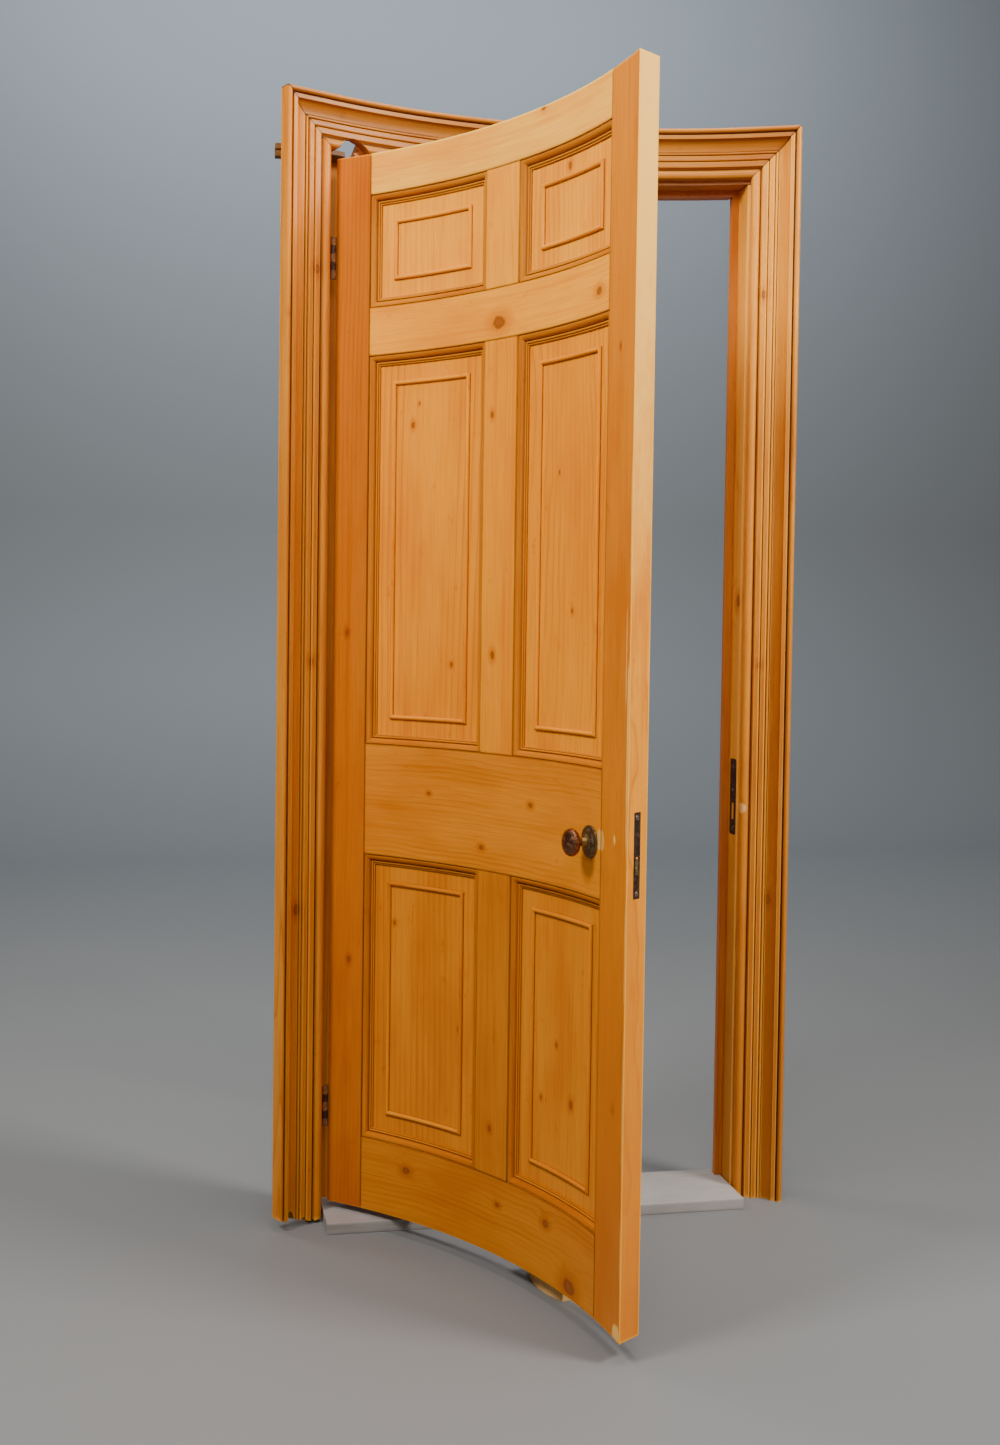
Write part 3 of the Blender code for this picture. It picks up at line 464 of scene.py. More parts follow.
lean = (math.cos(TRIM_ANGLE), -math.sin(TRIM_ANGLE))
jamb_knots = {"left": ((0.04, 1.62, 0.010), (0.03, 0.7, 0.008)), "right": ((0.012, 1.23, 0.009),)}
# the right lining is darker towards the bottom
jamb_darkening = {"left": (), "right": ((0.03, 0.20, 0.2, 0.60, JAMB_LOW_DARK, 0.6),)}
for side, word in ((-1, "left"), (1, "right")):
    wood = pine(f"jamb_pine_{word}", JAMB, 3.1 + side, jamb_knots[word], amber=0.6,
                stains_and_painted_light=jamb_darkening[word])
    outer = REVEAL + LINING_THICK
    outline = [
        (side * REVEAL, JAMB_FRONT + GAP),
        (side * outer, JAMB_FRONT + LINING_THICK * lean[1] / lean[0] + GAP),
        (side * outer, JAMB_FRONT + LINING_DEPTH),
        (side * REVEAL, JAMB_FRONT + LINING_DEPTH),
    ]
    upright(f"jamb_board_{word}", outline, HEAD_Z - GAP, wood, f"lining_{word}",
            seed=side * 2.0)
dress(["lining_head"], pine("head_pine", (0.50, 0.17, 0.015), 7.7, lay="object_across", amber=0.7))
dress(["lining_head_stub"], pine("broken_pine", (0.17, 0.075, 0.018), 8.9, lay="object_across",
                                 amber=0.9, wax=0.6))

# The stops: square laths planted on the linings for the leaf to shut against.
# They are of the same pine, fixed with nails.
stop_pine = pine("stop_pine", (0.50, 0.155, 0.012), 5.2, lay="object", amber=0.8)
dress(["stop_left", "stop_right", "stop_head"], stop_pine)

# The architrave: one moulding run of pine, up both jambs and round the head,
# mitred at the corners: a rounded back band, a deep cove, two fasciae and an
# inner bead. The left foot is broken off, and a piece of the head's inner edge.
TRIM_WIDE = 0.100
TRIM_Z = HEAD_Z + MARGIN
TRIM_EASE = 0.0007
TRIM_KEPT, TRIM_LOST, LOST_DEEP = 0.014, 0.064, 0.024
HEAD_STEPS = 216
MITRE_GAP = 0.0002
TRIM_TONES = {"left": (0.58, 0.19, 0.011), "right": (0.65, 0.235, 0.016)}
# how far up the left foot is broken off, from the outer edge in, as shares of the width
FOOT_BREAK = ((0.0, 0.0242), (0.09, 0.021), (0.18, 0.018), (0.23, 0.023), (0.27, 0.033),
              (0.36, 0.032), (0.42, 0.016), (0.5, 0.011), (0.6, 0.0176), (0.68, 0.008),
              (0.86, 0.006), (1.0, 0.0093))
# the shape of the piece lost from the head, from left to right, as shares of its size
HEAD_BREAK = ((0, 0.05), (0.20, 0.88), (0.43, 1), (0.66, 0.78), (0.85, 0.5), (1, 0))


def trim_profile():
    """(distance from the inner edge, height) round the moulding, outer edge first."""
    points = [(0, 0), (0, 0.025)]
    for k in range(1, 10):  # rounded back band
        turn = math.pi * k / 10
        points.append((0.005 - 0.005 * math.cos(turn), 0.025 + 0.005 * math.sin(turn)))
    points += [(0.0102, 0.0212), (0.0132, 0.0212), (0.0134, 0.027), (0.0214, 0.027)]
    points += [(0.0214, 0.0255)]
    for k in range(1, 12):  # deep cove
        turn = math.pi / 2 * k / 12
        points.append((0.0214 + 0.0231 * (1 - math.cos(turn)), 0.0255 - 0.0135 * math.sin(turn)))
    points += [(0.0445, 0.012), (0.0455, 0.0105), (0.0465, 0.015), (0.0495, 0.015)]
    points += [(0.0512, 0.0118), (0.0535, 0.017), (0.0620, 0.017), (0.0640, 0.0137)]
    points += [(0.0660, 0.018), (0.0760, 0.018)]
    for k in range(1, 6):  # hollow
        turn = math.pi * k / 6
        points.append((0.0760 + 0.0075 * k / 6, 0.018 - 0.0052 * math.sin(turn) - 0.0004 * k))
    points.append((0.0838, 0.0155))
    for k in range(1, 10):  # inner bead
        turn = math.pi * k / 10
        points.append((0.0915 - 0.0072 * math.cos(turn), 0.0155 + 0.0045 * math.sin(turn)))
    points += [(0.0990, 0.0155), (0.1, 0.0115), (0.1, 0)]
    return [(TRIM_WIDE - s, rise) for s, rise in points]


def along_line(line, share):
    """The height of a broken line at a share of its length, or None past its ends."""
    for (x0, z0), (x1, z1) in zip(line, line[1:]):
        if x0 <= share <= x1:
            return z0 + (z1 - z0) * (share - x0) / (x1 - x0)
    return None


def broken_foot(s):
    share = min(max((TRIM_WIDE - s) / TRIM_WIDE, 0.0), 1.0)
    ragged = 0.0025 * noise.noise(Vector((s * 300, 0, 3)))
    return max(0.002, along_line(FOOT_BREAK, share) + ragged)


def gone_at(x):
    """How much of the head moulding's inner edge is broken away at x."""
    gone = along_line(HEAD_BREAK, (x + RADIUS * math.sin(TRIM_ANGLE) - TRIM_KEPT) / TRIM_LOST)
    return 0.0 if gone is None else LOST_DEEP * gone + 0.0016 * noise.noise(Vector((x * 400, 0, 0)))


def set_round(side):
    """Turns a jamb moulding on to the curve's tangent at the corner of the doorway."""
    corner = on_arc(TRIM_ANGLE, RADIUS)

    def place(s, rise, z):
        x = corner.x + lean[0] * s + lean[1] * rise
        return Vector((side * x, corner.y + lean[1] * s - lean[0] * rise, z))

    return place


trim_stain = {
    "left": (),
    "right": ((0.006, 0.807, 0.010, 0.013, (0.95, 0.62, 0.25), 0.95),
              (0.050, 0.25, 0.3, 0.80, (0.40, 0.105, 0.006), 0.65)),
}
trim_knots = ((0.030, 1.85, 0.006), (0.060, 0.62, 0.007), (0.035, 1.1, 0.005))
for side, word in ((-1, "left"), (1, "right")):
    wood = pine(f"jamb_trim_pine_{word}", TRIM_TONES[word], 11.0 + 2 * side, trim_knots,
                amber=0.45, stains_and_painted_light=trim_stain[word], rub=1.3)
    upright(f"jamb_moulding_{word}", trim_profile(), TRIM_Z, wood,
            f"architrave_{word}", seed=4 + side, step=0.02, ease=TRIM_EASE,
            foot=broken_foot if side < 0 else None, top=lambda s: TRIM_Z + s - MITRE_GAP,
            wobble=0.0, turn=set_round(side))

points = eased(trim_profile(), TRIM_EASE)
verts, lay, rubbed, grime = [], [], [], []
for station in range(-3, HEAD_STEPS + 4):
    angle = TRIM_ANGLE * (2 * min(max(station, 0), HEAD_STEPS) / HEAD_STEPS - 1)
    beyond = max(-station, station - HEAD_STEPS, 0)  # rows of points past the doorway's corner
    past = (0, 0.5, 0.96, 1)[beyond] * (-1 if station < 0 else 1)
    gone = gone_at(RADIUS * math.sin(angle))
    for s, rise, rub, dirt_and_shade in points:
        if s < gone:
            torn = 0.0008 * noise.noise(Vector((angle * 900, rise * 300, 5)))
            s, rub, dirt_and_shade = gone + torn, 0.3, 0.4
        spot = on_arc(angle, RADIUS - rise, TRIM_Z + s)
        spot += Vector((math.cos(angle), -math.sin(angle), 0)) * past * (s - MITRE_GAP)
        verts.append(spot)
        lay.append((s, rise, angle * RADIUS + past * s))
        rubbed.append(rub)
        grime.append(1.0 if beyond == 3 else dirt_and_shade)
# The head moulding's tone is darker than the jambs': painted shade, as the light falls from above.
wood = pine("head_trim_pine", (0.38, 0.125, 0.007), 13.7, ((0.055, 0.1, 0.004),), amber=0.6, rub=0.6)
make_piece("head_moulding", verts, drawn_faces(HEAD_STEPS + 7, len(points)), [wood], "surround",
           "architrave_head", lay, rubbed, grime)

# The threshold board: a softwood board laid loose between the jambs. Its grey
# paint is scuffed along the grain and dusty.
paint = bpy.data.materials.new("grey_board_paint")
paint.use_nodes = True
at = Wire(paint.node_tree).node("ShaderNodeTexCoord", out=3)
scuff = clouds(at.node("ShaderNodeMapping", Vector=at, Scale=(4, 90, 90)), 1.0, 4.0, 0.7)
body = clouds(at, 3.5, 4.0, 0.6).fade(0.35, 0.65).blend((0.27, 0.245, 0.225), (0.33, 0.305, 0.285))
body = (scuff.fade(0.55, 0.75) * 0.5).blend(body, (0.17, 0.145, 0.125))
board_shader = paint.node_tree.nodes["Principled BSDF"]
body.feed(board_shader, "Base Color")
(0.55 + scuff * 0.25).feed(board_shader, "Roughness")
scuff.node("ShaderNodeBump", Height=scuff, Strength=0.25, Distance=0.001).feed(board_shader, "Normal")
low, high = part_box("threshold_board")
points = eased([(low.y, 0.0), (low.y, high.z), (high.y, high.z), (high.y, 0.0)], 0.0018)
ends = (low.x, low.x + 0.003, high.x - 0.003, high.x)
verts = [Vector((x, y, max(z, 0.0))) for x in ends for y, z, rub, dirt_and_shade in points]
make_piece("threshold_plank", verts, drawn_faces(len(ends), len(points)), [paint], "surround",
           "threshold_board")

# The chock: a bare offcut of pale softwood pushed under the leaf to hold it.
# It is fresh sawn and unwaxed.
dress(["chock"], pine("chock_pine", (0.70, 0.38, 0.11), 17.0, lay="object", amber=0.2, wax=0.6))

# The leaf: stiles, rails and muntins of pine sawn to the curve and tenoned
# together, drawn shut on its own curve and then swung open with the hinges.
# Deep amber low down and on the hinge side, paler up at the head; from the foot up to the head this is
# partly the wax's own tone and partly painted light from above.
PIN_IN, PIN_OUT, OPEN_ANGLE = 0.0017, 0.008, 62.4
HINGE_STILE, LOCK_STILE, MUNTIN = 0.080, 0.105, 0.093
CLOSING_BEVEL = 0.007
RAIL_EDGES = (0.140, 0.693, 0.906, 1.649, 1.740, 1.954)
FACE_STEP, ARRIS_STRIP, BACK_STRIP = 0.009, 0.005, 0.004
# AMBER, HONEY and PALE go from the foot up to the head: partly the wax's own tone, partly painted
# light from above
AMBER = (0.54, 0.155, 0.003)
HONEY = (0.81, 0.245, 0.002)
PALE = (0.90, 0.305, 0.008)
PIVOT = Vector((-CHORD / 2 + PIN_IN, -PIN_OUT, 0))
OPENED = Matrix.Rotation(-math.radians(OPEN_ANGLE), 4, "Z")
SWING = Matrix.Translation(PIVOT) @ OPENED @ Matrix.Translation(-PIVOT)
HALF_ARC = HALF_ANGLE * RADIUS
STILE_IN, LOCK_IN = -HALF_ARC + HINGE_STILE, HALF_ARC - LOCK_STILE
EDGE_BACK = CENTRE_Y + math.sqrt((RADIUS + THICK) ** 2 - (CHORD / 2 - CLOSING_BEVEL) ** 2)
EDGE_OUT = Vector((EDGE_BACK, CLOSING_BEVEL, 0)).normalized()
EDGE_IN = Vector((-CLOSING_BEVEL, EDGE_BACK, 0)).normalized()


def swung(across, depth, z):
    """A point of the flat leaf, bent to its curve and swung open; the stiles' edges are planed
    straight, the closing one with a small bevel."""
    arc = across
    if across > LOCK_IN:
        wide, back = CHORD / 2 - CLOSING_BEVEL * depth / THICK, EDGE_BACK * depth / THICK
        edge = RADIUS * math.atan2(wide, back - CENTRE_Y)
        arc = LOCK_IN + (edge - LOCK_IN) * (across - LOCK_IN) / LOCK_STILE
    elif across < STILE_IN:
        edge = -RADIUS * math.asin(CHORD / 2 / (RADIUS + depth))
        arc = STILE_IN + (edge - STILE_IN) * (STILE_IN - across) / HINGE_STILE
    return SWING @ on_arc(arc / RADIUS, RADIUS + depth, z)


def leaf_board(name, across, up, materials, node, flat=False, depth=(0.0, THICK),
               ease=0.0007, bare=()):
    """One board of the leaf, its arrises eased; flat boards have their grain level. The sides
    named in bare stand in the open and are rubbed, the others lie in joints and hold dirt."""
    bm = bmesh.new()
    bmesh.ops.create_cube(bm, size=1)
    size = Vector((across[1] - across[0], depth[1] - depth[0], up[1] - up[0]))
    middle = Vector((sum(across) / 2, sum(depth) / 2, sum(up) / 2))
    bmesh.ops.scale(bm, verts=bm.verts[:], vec=size)
    bmesh.ops.translate(bm, verts=bm.verts[:], vec=middle)
    bmesh.ops.bevel(bm, geom=bm.edges[:], offset=ease, segments=2, profile=0.5, affect="EDGES")
    steps = math.ceil(size.x / FACE_STEP)
    cuts = [((x, 0, 0), (1, 0, 0)) for x in (across[0] + ARRIS_STRIP, across[1] - ARRIS_STRIP)]
    cuts += [((0, 0, z), (0, 0, 1)) for z in (up[0] + ARRIS_STRIP, up[1] - ARRIS_STRIP)]
    cuts += [((0, y, 0), (0, 1, 0)) for y in (depth[0] + BACK_STRIP, depth[1] - BACK_STRIP)]
    cuts += [((across[0] + size.x * k / steps, 0, 0), (1, 0, 0)) for k in range(1, steps)]
    for point, normal in cuts:
        geometry = bm.verts[:] + bm.edges[:] + bm.faces[:]
        bmesh.ops.bisect_plane(bm, geom=geometry, plane_co=point, plane_no=normal)
    verts, lay, rubbed, grime = [], [], [], []
    for vert in bm.verts:
        x, y, z = vert.co
        gaps = {
            "start": x - across[0], "end": x - across[1], "front": y - depth[0],
            "back": y - depth[1], "foot": z - up[0], "head": z - up[1],
        }
        on = [side for side, gap in gaps.items() if abs(gap) < ease * 1.05]
        arris = len(on) >= 2
        in_open = any(side in bare for side in on)
        verts.append(swung(x, y, z))
        lay.append((z, y, x) if flat else (x, y, z))
        rubbed.append((1.0 if in_open else 0.25) if arris else 0.0)
        grime.append(0.55 if arris and not in_open else 0.0)
    bm.verts.index_update()
    faces = [tuple(vert.index for vert in face.verts) for face in bm.faces]
    edge_starts = across[1] - ease * 0.5 if len(materials) > 1 else math.inf
    which = [int(face.calc_center_median().x > edge_starts) for face in bm.faces]
    bm.free()
    make_piece(name, verts, faces, materials, "leaf", node, lay, rubbed, grime, which)


hinge_knots = ((-0.397, 1.156, 0.004), (-0.385, 0.52, 0.004))
hinge_pine = pine("hinge_stile_pine", (0.49, 0.118, 0.003), 21.0, hinge_knots, amber=0.7)
leaf_board("hinge_side_stile", (-HALF_ARC, STILE_IN), (LEAF_Z, LEAF_TOP), [hinge_pine],
           "hinge_stile", bare=("start", "foot", "head"))
lock_knots = ((0.372, 1.62, 0.003), (0.388, 0.4, 0.004))
lock_scars_and_shade = (
    (0.4275, 0.965, 0.0060, 0.20, SCAR, 0.9), (0.4165, 1.12, 0.0025, 0.09, SCAR, 0.6),
    (0.4300, 0.66, 0.0055, 0.10, SCAR, 0.85), (0.4300, 0.40, 0.0060, 0.13, SCAR, 0.9),
    (0.4300, 0.18, 0.0050, 0.07, SCAR, 0.85), (0.4300, 1.36, 0.0040, 0.12, SCAR, 0.75),
    (0.4200, 0.50, 0.0030, 0.06, (0.22, 0.055, 0.006), 0.5),
    # painted shade: the stile darker towards the bottom
    (0.378, 0.35, 0.3, 0.55, (0.47, 0.115, 0.003), 0.55),
    (0.378, 0.834, 0.005, 0.009, SCAR, 0.75), (0.415, 0.046, 0.016, 0.020, SCAR, 0.9),
    (0.328, 0.827, 0.010, 0.020, (0.70, 0.36, 0.08), 0.7),
)
lock_pine = pine("lock_stile_pine", (0.62, 0.175, 0.004), 24.0, lock_knots, amber=0.75, rub=1.1,
                 stains_and_painted_light=lock_scars_and_shade)
# painted light and shade on the closing edge: paler up at the top, darker low down
edge_painted_light = ((0.43, 1.95, 0.05, 0.60, (1.0, 0.54, 0.10), 0.85),
              (0.43, 0.30, 0.05, 0.42, (0.72, 0.19, 0.004), 0.6))
edge_pine = pine("closing_edge_pine", (0.86, 0.29, 0.010), 26.0, amber=1.0, rub=1.2,
                 stains_and_painted_light=edge_painted_light)
leaf_board("lock_side_stile", (LOCK_IN, HALF_ARC), (LEAF_Z, LEAF_TOP), [lock_pine, edge_pine],
           "lock_stile", bare=("end", "foot", "head"))
level_z = [LEAF_Z + z for z in RAIL_EDGES]
torn = (0.827, 0.320, 0.021, 0.010, (0.74, 0.40, 0.10), 0.85)
# the rails' colours grow paler from the bottom rail to the top: partly the wax's own tone, partly
# painted light from above
# name, foot, head, colour, seed, sides in the open, scars, knots
rails = (
    ("bottom", LEAF_Z, level_z[0], AMBER, 31.0, ("foot",), (),
     ((0.131, -0.238, 0.006), (0.128, 0.008, 0.004), (0.138, 0.154, 0.006), (0.055, 0.235, 0.012))),
    ("lock", level_z[1], level_z[2], (0.63, 0.185, 0.004), 33.0, (), (torn,),
     ((0.857, -0.191, 0.003), (0.86, 0.09, 0.004), (0.77, -0.05, 0.004))),
    ("frieze", level_z[3], level_z[4], PALE, 35.0, (), (),
     ((1.714, -0.019, 0.011), (1.722, 0.289, 0.006))),
    ("top", level_z[5], LEAF_TOP, (0.96, 0.40, 0.035), 37.0, ("head",), (),
     ((2.064, 0.10, 0.004),)),
)
for word, low, high, tone, seed, bare, scars, knots in rails:
    wood = pine(f"{word}_rail_pine", tone, seed, knots, amber=0.6, stains_and_painted_light=scars)
    leaf_board(f"{word}_rail_board", (STILE_IN + GAP, LOCK_IN - GAP), (low, high), [wood],
               f"{word}_rail", flat=True, bare=bare)
panel_wide = (LOCK_IN - STILE_IN - MUNTIN) / 2
columns = (("left", STILE_IN, STILE_IN + panel_wide), ("right", LOCK_IN - panel_wide, LOCK_IN))
rows = (("lower", level_z[0], level_z[1]), ("middle", level_z[2], level_z[3]),
        ("top", level_z[4], level_z[5]))
# the muntins grow paler upwards: partly the wax's own tone, partly painted light from above
muntin_tones = (AMBER, HONEY, PALE)
muntin_knots = (((-0.017, 0.262, 0.004),), ((-0.035, 1.552, 0.004), (-0.026, 1.120, 0.005)), ())
for k, (word, low, high) in enumerate(rows):
    wood = pine(f"{word}_muntin_pine", muntin_tones[k], 41.0 + k, muntin_knots[k], amber=0.5)
    leaf_board(f"{word}_muntin_board", (columns[0][2] + GAP, columns[1][1] - GAP),
               (low + GAP, high - GAP), [wood], f"muntin_{word}")

# The six panels: thin flat boards of pine let into the leaf. Each carries a
# planted bead rectangle with painted shadow at its foot, and a mitred moulding is
# nailed round it inside the frame, dark with old wax and painted shade in its quirks.
SUNK, PANEL_THICK = 0.014, 0.012
MOULD_WIDE, BEAD_IN, BEAD_WIDE, BEAD_RISE = 0.019, 0.050, 0.0075, 0.0020
# the middle number is how high above the bed the beads' painted foot shadow reaches
MOULD_EASE, FOOT_SHADOW_HIGH, RING_STEPS = 0.0004, 0.0022, 34


def mitred_ring(name, across, up, profile, material, node, foot_shadow=0.0):
    """A moulding mitred round a rectangle of the leaf, bent with it; foot_shadow paints shadow at its
    feet.
    """
    points = [
        (inset, depth, rub, max(dirt_and_shade, foot_shadow if depth > SUNK - FOOT_SHADOW_HIGH else 0.0))
        for inset, depth, rub, dirt_and_shade in eased(profile, MOULD_EASE)
    ]
    verts, lay, rubbed, grime = [], [], [], []
    for at_head in (0, 1):  # along the foot from left to right, then back along the head
        for k in range(RING_STEPS + 1):
            share = abs(at_head - k / RING_STEPS)
            for inset, depth, rub, dirt_and_shade in points:
                x = across[0] + inset + (across[1] - across[0] - 2 * inset) * share
                z = up[1] - inset if at_head else up[0] + inset
                verts.append(swung(x, depth, z))
                lay.append((inset, depth, x + z))
                rubbed.append(rub)
                grime.append(dirt_and_shade)
    faces = drawn_faces(2 * (RING_STEPS + 1), len(points), closed=True)
    make_piece(name, verts, faces, [material], "leaf", node, lay, rubbed, grime)


bed = SUNK - GAP
mould_profile = [(GAP, bed), (GAP, 0.0030), (0.0014, 0.0036), (0.0019, 0.0014)]
for k in range(1, 9):  # ovolo
    turn = math.pi / 2 * k / 8
    mould_profile.append((0.0019 + 0.0092 * math.sin(turn), 0.0014 + 0.0072 * (1 - math.cos(turn))))
mould_profile += [(0.0118, 0.0100), (0.0126, 0.0092)]
for k in range(1, 6):  # small bead
    turn = math.pi * k / 6
    mould_profile.append((0.0144 - 0.0018 * math.cos(turn), 0.0092 - 0.0014 * math.sin(turn)))
mould_profile += [(0.0163, 0.0114), (0.0168, 0.0104), (MOULD_WIDE, 0.0106), (MOULD_WIDE, bed)]
bead_profile = [(0, bed), (0, bed - BEAD_RISE)]
for k in range(1, 8):
    turn = math.pi * k / 8
    round_in = BEAD_WIDE / 2 * (1 - math.cos(turn))
    bead_profile.append((round_in, bed - BEAD_RISE - 0.0036 * math.sin(turn)))
bead_profile += [(BEAD_WIDE, bed - BEAD_RISE), (BEAD_WIDE, bed)]
mould_tones = ((0.46, 0.120, 0.003), (0.50, 0.135, 0.003), (0.50, 0.15, 0.005))
# the panels grow paler upwards: partly the wax's own tone, partly painted light from above
panel_tones = ((0.63, 0.185, 0.004), HONEY, PALE)
panel_knots = {
    "lower_left": ((-0.285, 0.60, 0.003), (-0.12, 0.42, 0.003)),
    "lower_right": ((0.115, 0.348, 0.003), (0.209, 0.358, 0.005), (0.16, 0.45, 0.003)),
    "middle_left": ((-0.238, 1.589, 0.002), (-0.254, 1.550, 0.004), (-0.15, 1.10, 0.003)),
    "middle_right": ((0.144, 1.438, 0.002), (0.19, 1.20, 0.003)),
    "top_left": (),
    "top_right": ((0.163, 1.955, 0.005),),
}
for k, (row, low, high) in enumerate(rows):
    mould_pine = pine(f"{row}_moulding_pine", mould_tones[k], 51.0 + k, amber=0.6)
    for j, (column, start, end) in enumerate(columns):
        name = f"{row}_{column}"
        wood = pine(f"{name}_panel_pine", panel_tones[k], 61.0 + 2 * k + j, panel_knots[name],
                    ringing=0.0135, amber=0.45, wax=0.30)
        leaf_board(f"{name}_panel_board", (start + GAP, end - GAP), (low + GAP, high - GAP),
                   [wood], f"panel_{name}", depth=(SUNK, SUNK + PANEL_THICK),
                   ease=0.0004)
        mitred_ring(f"{name}_panel_moulding", (start, end), (low, high), mould_profile,
                    mould_pine, f"moulding_{name}")
        # the bead rectangle, with painted shadow at its foot
        mitred_ring(f"{name}_panel_bead", (start + BEAD_IN, end - BEAD_IN),
                    (low + BEAD_IN, high - BEAD_IN), bead_profile, wood,
                    f"bead_{name}", foot_shadow=0.9)

# The lock: its iron forend is let into the closing edge and screwed, with the
# latch bolt in it; a brass-necked bronze knob turns on a round rose on each
# face. The iron is dark with rust, the knobs are bright from handling.
PROUD = 0.0003
FOREND_Z, FOREND_THICK = 0.8135, 0.0024
NECK_ENDS, NECK_BRASS = 0.0150, (0.32, 0.20, 0.062)


def old_iron(name, colour, glow, metal=0.75, rough=0.48, neck=None):
    """Old metal with lighter rust or rubbed places; neck gives a knob's direction and how far
    along it the brass of its neck ends."""
    material = bpy.data.materials.new(name)
    material.use_nodes = True
    at = Wire(material.node_tree).node("ShaderNodeTexCoord", out=3)
    rust, fine = clouds(at, 140.0, 5.0, 0.7), clouds(at, 900.0, 3.0, 0.6)
    tone = rust.fade(0.42, 0.66).blend(colour, glow)
    tone = (fine.fade(0.55, 0.8) * 0.5).blend(tone, shade_of(glow, 2.2, 2.2, 2.2))
    if neck:
        x, y, z = at.parts()
        past = x * neck[0].x + y * neck[0].y - neck[1]
        tone = past.fade(-0.0006, 0.0006, 1.0, 0.0).blend(tone, NECK_BRASS)
    shader = material.node_tree.nodes["Principled BSDF"]
    tone.feed(shader, "Base Color")
    (rough + rust * 0.3).feed(shader, "Roughness")
    (metal - rust.fade(0.5, 0.7) * 0.45).feed(shader, "Metallic")
    rust.node("ShaderNodeBump", Height=rust, Strength=0.5, Distance=0.0006).feed(shader, "Normal")
    return material


def plate(name, outline, hole, thick, frame_of, materials, body, node, screws, plug):
    """A plate with a hole through it and slotted screws let into it, in its own frame
    (width, height, out of the face); plug is a block painted black as the hole's shade that closes its
    back."""
    bm = bmesh.new()
    edges = []
    for ring in (outline, hole):
        loop = [bm.verts.new((x, y, 0)) for x, y in ring]
        edges += [bm.edges.new((loop[k - 1], loop[k])) for k in range(len(loop))]
    made = bmesh.ops.triangle_fill(bm, edges=edges, use_beauty=True)
    flat = [item for item in made["geom"] if isinstance(item, bmesh.types.BMFace)]
    grown = bmesh.ops.extrude_face_region(bm, geom=flat)
    up = [item for item in grown["geom"] if isinstance(item, bmesh.types.BMVert)]
    bmesh.ops.translate(bm, verts=up, vec=(0, 0, thick))
    bmesh.ops.translate(bm, verts=bm.verts[:], vec=(0, 0, PROUD - thick))
    before = set(bm.faces)
    for x, y, radius, turn in screws:
        dome = bmesh.ops.create_uvsphere(bm, u_segments=20, v_segments=10, radius=radius)["verts"]
        bmesh.ops.scale(bm, verts=dome, vec=(1, 1, 0.25))
        for vert in dome:
            along = vert.co.x * math.cos(turn) + vert.co.y * math.sin(turn)
            if abs(along) < radius * 0.16 and vert.co.z > 0:
                vert.co.z *= 0.35
        bmesh.ops.translate(bm, verts=dome, vec=(x, y, PROUD))
    for face in set(bm.faces) - before:
        face.material_index = 1
        face.smooth = True
    before = set(bm.faces)
    x0, x1, y0, y1 = plug
    block = bmesh.ops.create_cube(bm, size=1)["verts"]
    bmesh.ops.scale(bm, verts=block, vec=(x1 - x0, y1 - y0, thick))
    bmesh.ops.translate(bm, verts=block, vec=((x0 + x1) / 2, (y0 + y1) / 2, -thick / 2 - 0.0001))
    for face in set(bm.faces) - before:
        face.material_index = 2
    for vert in bm.verts:
        vert.co = frame_of(*vert.co)
    bmesh.ops.recalc_face_normals(bm, faces=bm.faces[:])
    mesh = bpy.data.meshes.new(name)
    bm.to_mesh(mesh)
    bm.free()
    for material in materials:
        mesh.materials.append(material)
    piece = bpy.data.objects.new(name, mesh)
    bpy.context.scene.collection.objects.link(piece)
    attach(piece, body)
    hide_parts(node)


def worn_plate(half_wide, half_tall, round_off):
    """The outline of a plate with its corners rubbed round."""
    ring = []
    for cx, cy, first in ((1, -1, -90), (1, 1, 0), (-1, 1, 90), (-1, -1, 180)):
        for step in range(4):
            turn = math.radians(first + 30 * step)
            ring.append((cx * (half_wide - round_off) + round_off * math.cos(turn),
                         cy * (half_tall - round_off) + round_off * math.sin(turn)))
    return ring


def keyhole(x, y, radius, tail):
    turns = [math.radians(turn) for turn in range(150, -160, -30)]
    ring = [(x + radius * math.sin(turn), y + radius * math.cos(turn)) for turn in turns]
    return ring + [(x - radius * 0.45, y - tail), (x + radius * 0.45, y - tail)]


def on_closing_edge(x, y, out):
    """A point of the closing edge: x along it from front to back, y up, out of it."""
    middle = Vector((CHORD / 2 - CLOSING_BEVEL / 2, EDGE_BACK / 2, FOREND_Z))
    return SWING @ (middle + EDGE_IN * x + EDGE_OUT * out + Vector((0, 0, y)))


forend_iron = old_iron("forend_iron", (0.036, 0.022, 0.017), (0.10, 0.045, 0.026))
# a block painted black as the shade inside the keyhole and the keep's mouth
painted_shadow_black = old_iron("painted_shadow_black", (0.006, 0.005, 0.004), (0.010, 0.008, 0.006), metal=0.3,
                        rough=0.9)
screw_steel = old_iron("screw_steel", (0.16, 0.13, 0.11), (0.30, 0.22, 0.17), metal=0.9, rough=0.35)
plate("lock_faceplate", worn_plate(0.008, 0.069, 0.0012), keyhole(0, -0.0045, 0.0028, 0.0085),
      FOREND_THICK, on_closing_edge, [forend_iron, screw_steel, painted_shadow_black], "leaf",
      "lock_forend", screws=((0, 0.0600, 0.0042, 0.6), (0, -0.0615, 0.0042, 1.9)),
      plug=(-0.0040, 0.0040, -0.0145, 0.0000))
dress(["latch_bolt"], old_iron("latch_brass", (0.22, 0.15, 0.07), (0.42, 0.30, 0.16), metal=0.9,
                               rough=0.3))
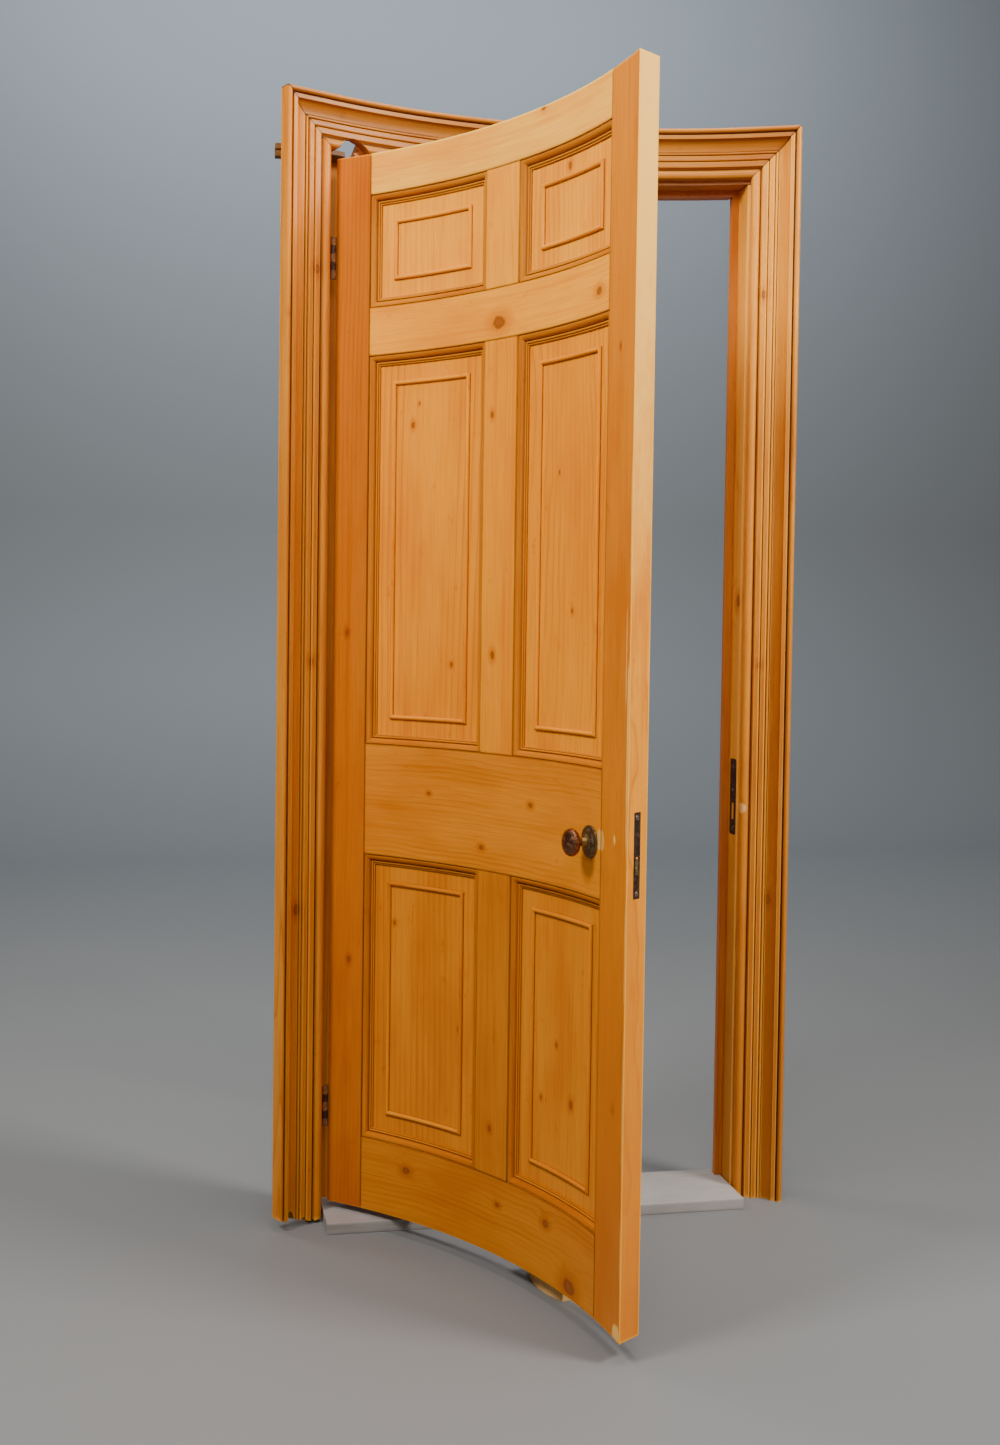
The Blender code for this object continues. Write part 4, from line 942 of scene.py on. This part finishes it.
rose_brass = old_iron("rose_brass", (0.15, 0.088, 0.036), (0.24, 0.165, 0.075), metal=0.85,
                      rough=0.38)
dress(["rose_front", "rose_back"], rose_brass)
for word in ("front", "back"):
    rose = sum(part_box(f"rose_{word}"), Vector()) / 2
    out = (sum(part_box(f"knob_{word}"), Vector()) / 2 - rose).normalized()
    bronze = old_iron(f"knob_bronze_{word}", (0.20, 0.078, 0.038), (0.34, 0.155, 0.075),
                      metal=0.95, rough=0.22, neck=(out, rose.dot(out) + NECK_ENDS))
    dress([f"knob_{word}"], bronze)

# The keep: a second iron plate, let into the right-hand reveal with three
# screws; a block painted black as shade closes the mouth that the latch bolt shuts into.
KEEP_IN, KEEP_Z, KEEP_THICK = 0.024, 0.8255, 0.0027


def on_right_reveal(x, y, out):
    """A point of the keep: x from the front back, y up from its middle, out of the reveal."""
    return Vector((REVEAL - out, JAMB_FRONT + KEEP_IN + x, KEEP_Z + y))


keep_iron = old_iron("keep_iron", (0.040, 0.024, 0.018), (0.12, 0.050, 0.028))
plate("keep_strike", worn_plate(0.018, 0.0785, 0.006),
      [(-0.006, -0.047), (0.006, -0.047), (0.006, -0.013), (-0.006, -0.013)], KEEP_THICK,
      on_right_reveal, [keep_iron, screw_steel, painted_shadow_black], "surround",
      "keep_plate", plug=(-0.0058, 0.0058, -0.0468, -0.0132),
      screws=((0.001, 0.062, 0.0045, 1.1), (-0.001, -0.065, 0.0045, 0.3), (0.002, 0.014, 0.004, 2.2)))

# The hinges: two cast-iron butts screwed to the lining and the leaf, with their
# knuckles in front of the leaf. The flaps on the lining are stained with wax.
hinge_iron = old_iron("hinge_iron", (0.050, 0.028, 0.018), (0.13, 0.06, 0.034))
stained_iron = old_iron("stained_hinge_iron", (0.20, 0.085, 0.028), (0.34, 0.16, 0.05), metal=0.3,
                        rough=0.6)
for level in ("top", "bottom"):
    dress([f"hinge_{level}_frame_leaf"], stained_iron)
    dress([f"hinge_{level}_door_leaf", f"hinge_{level}_pin"], hinge_iron)
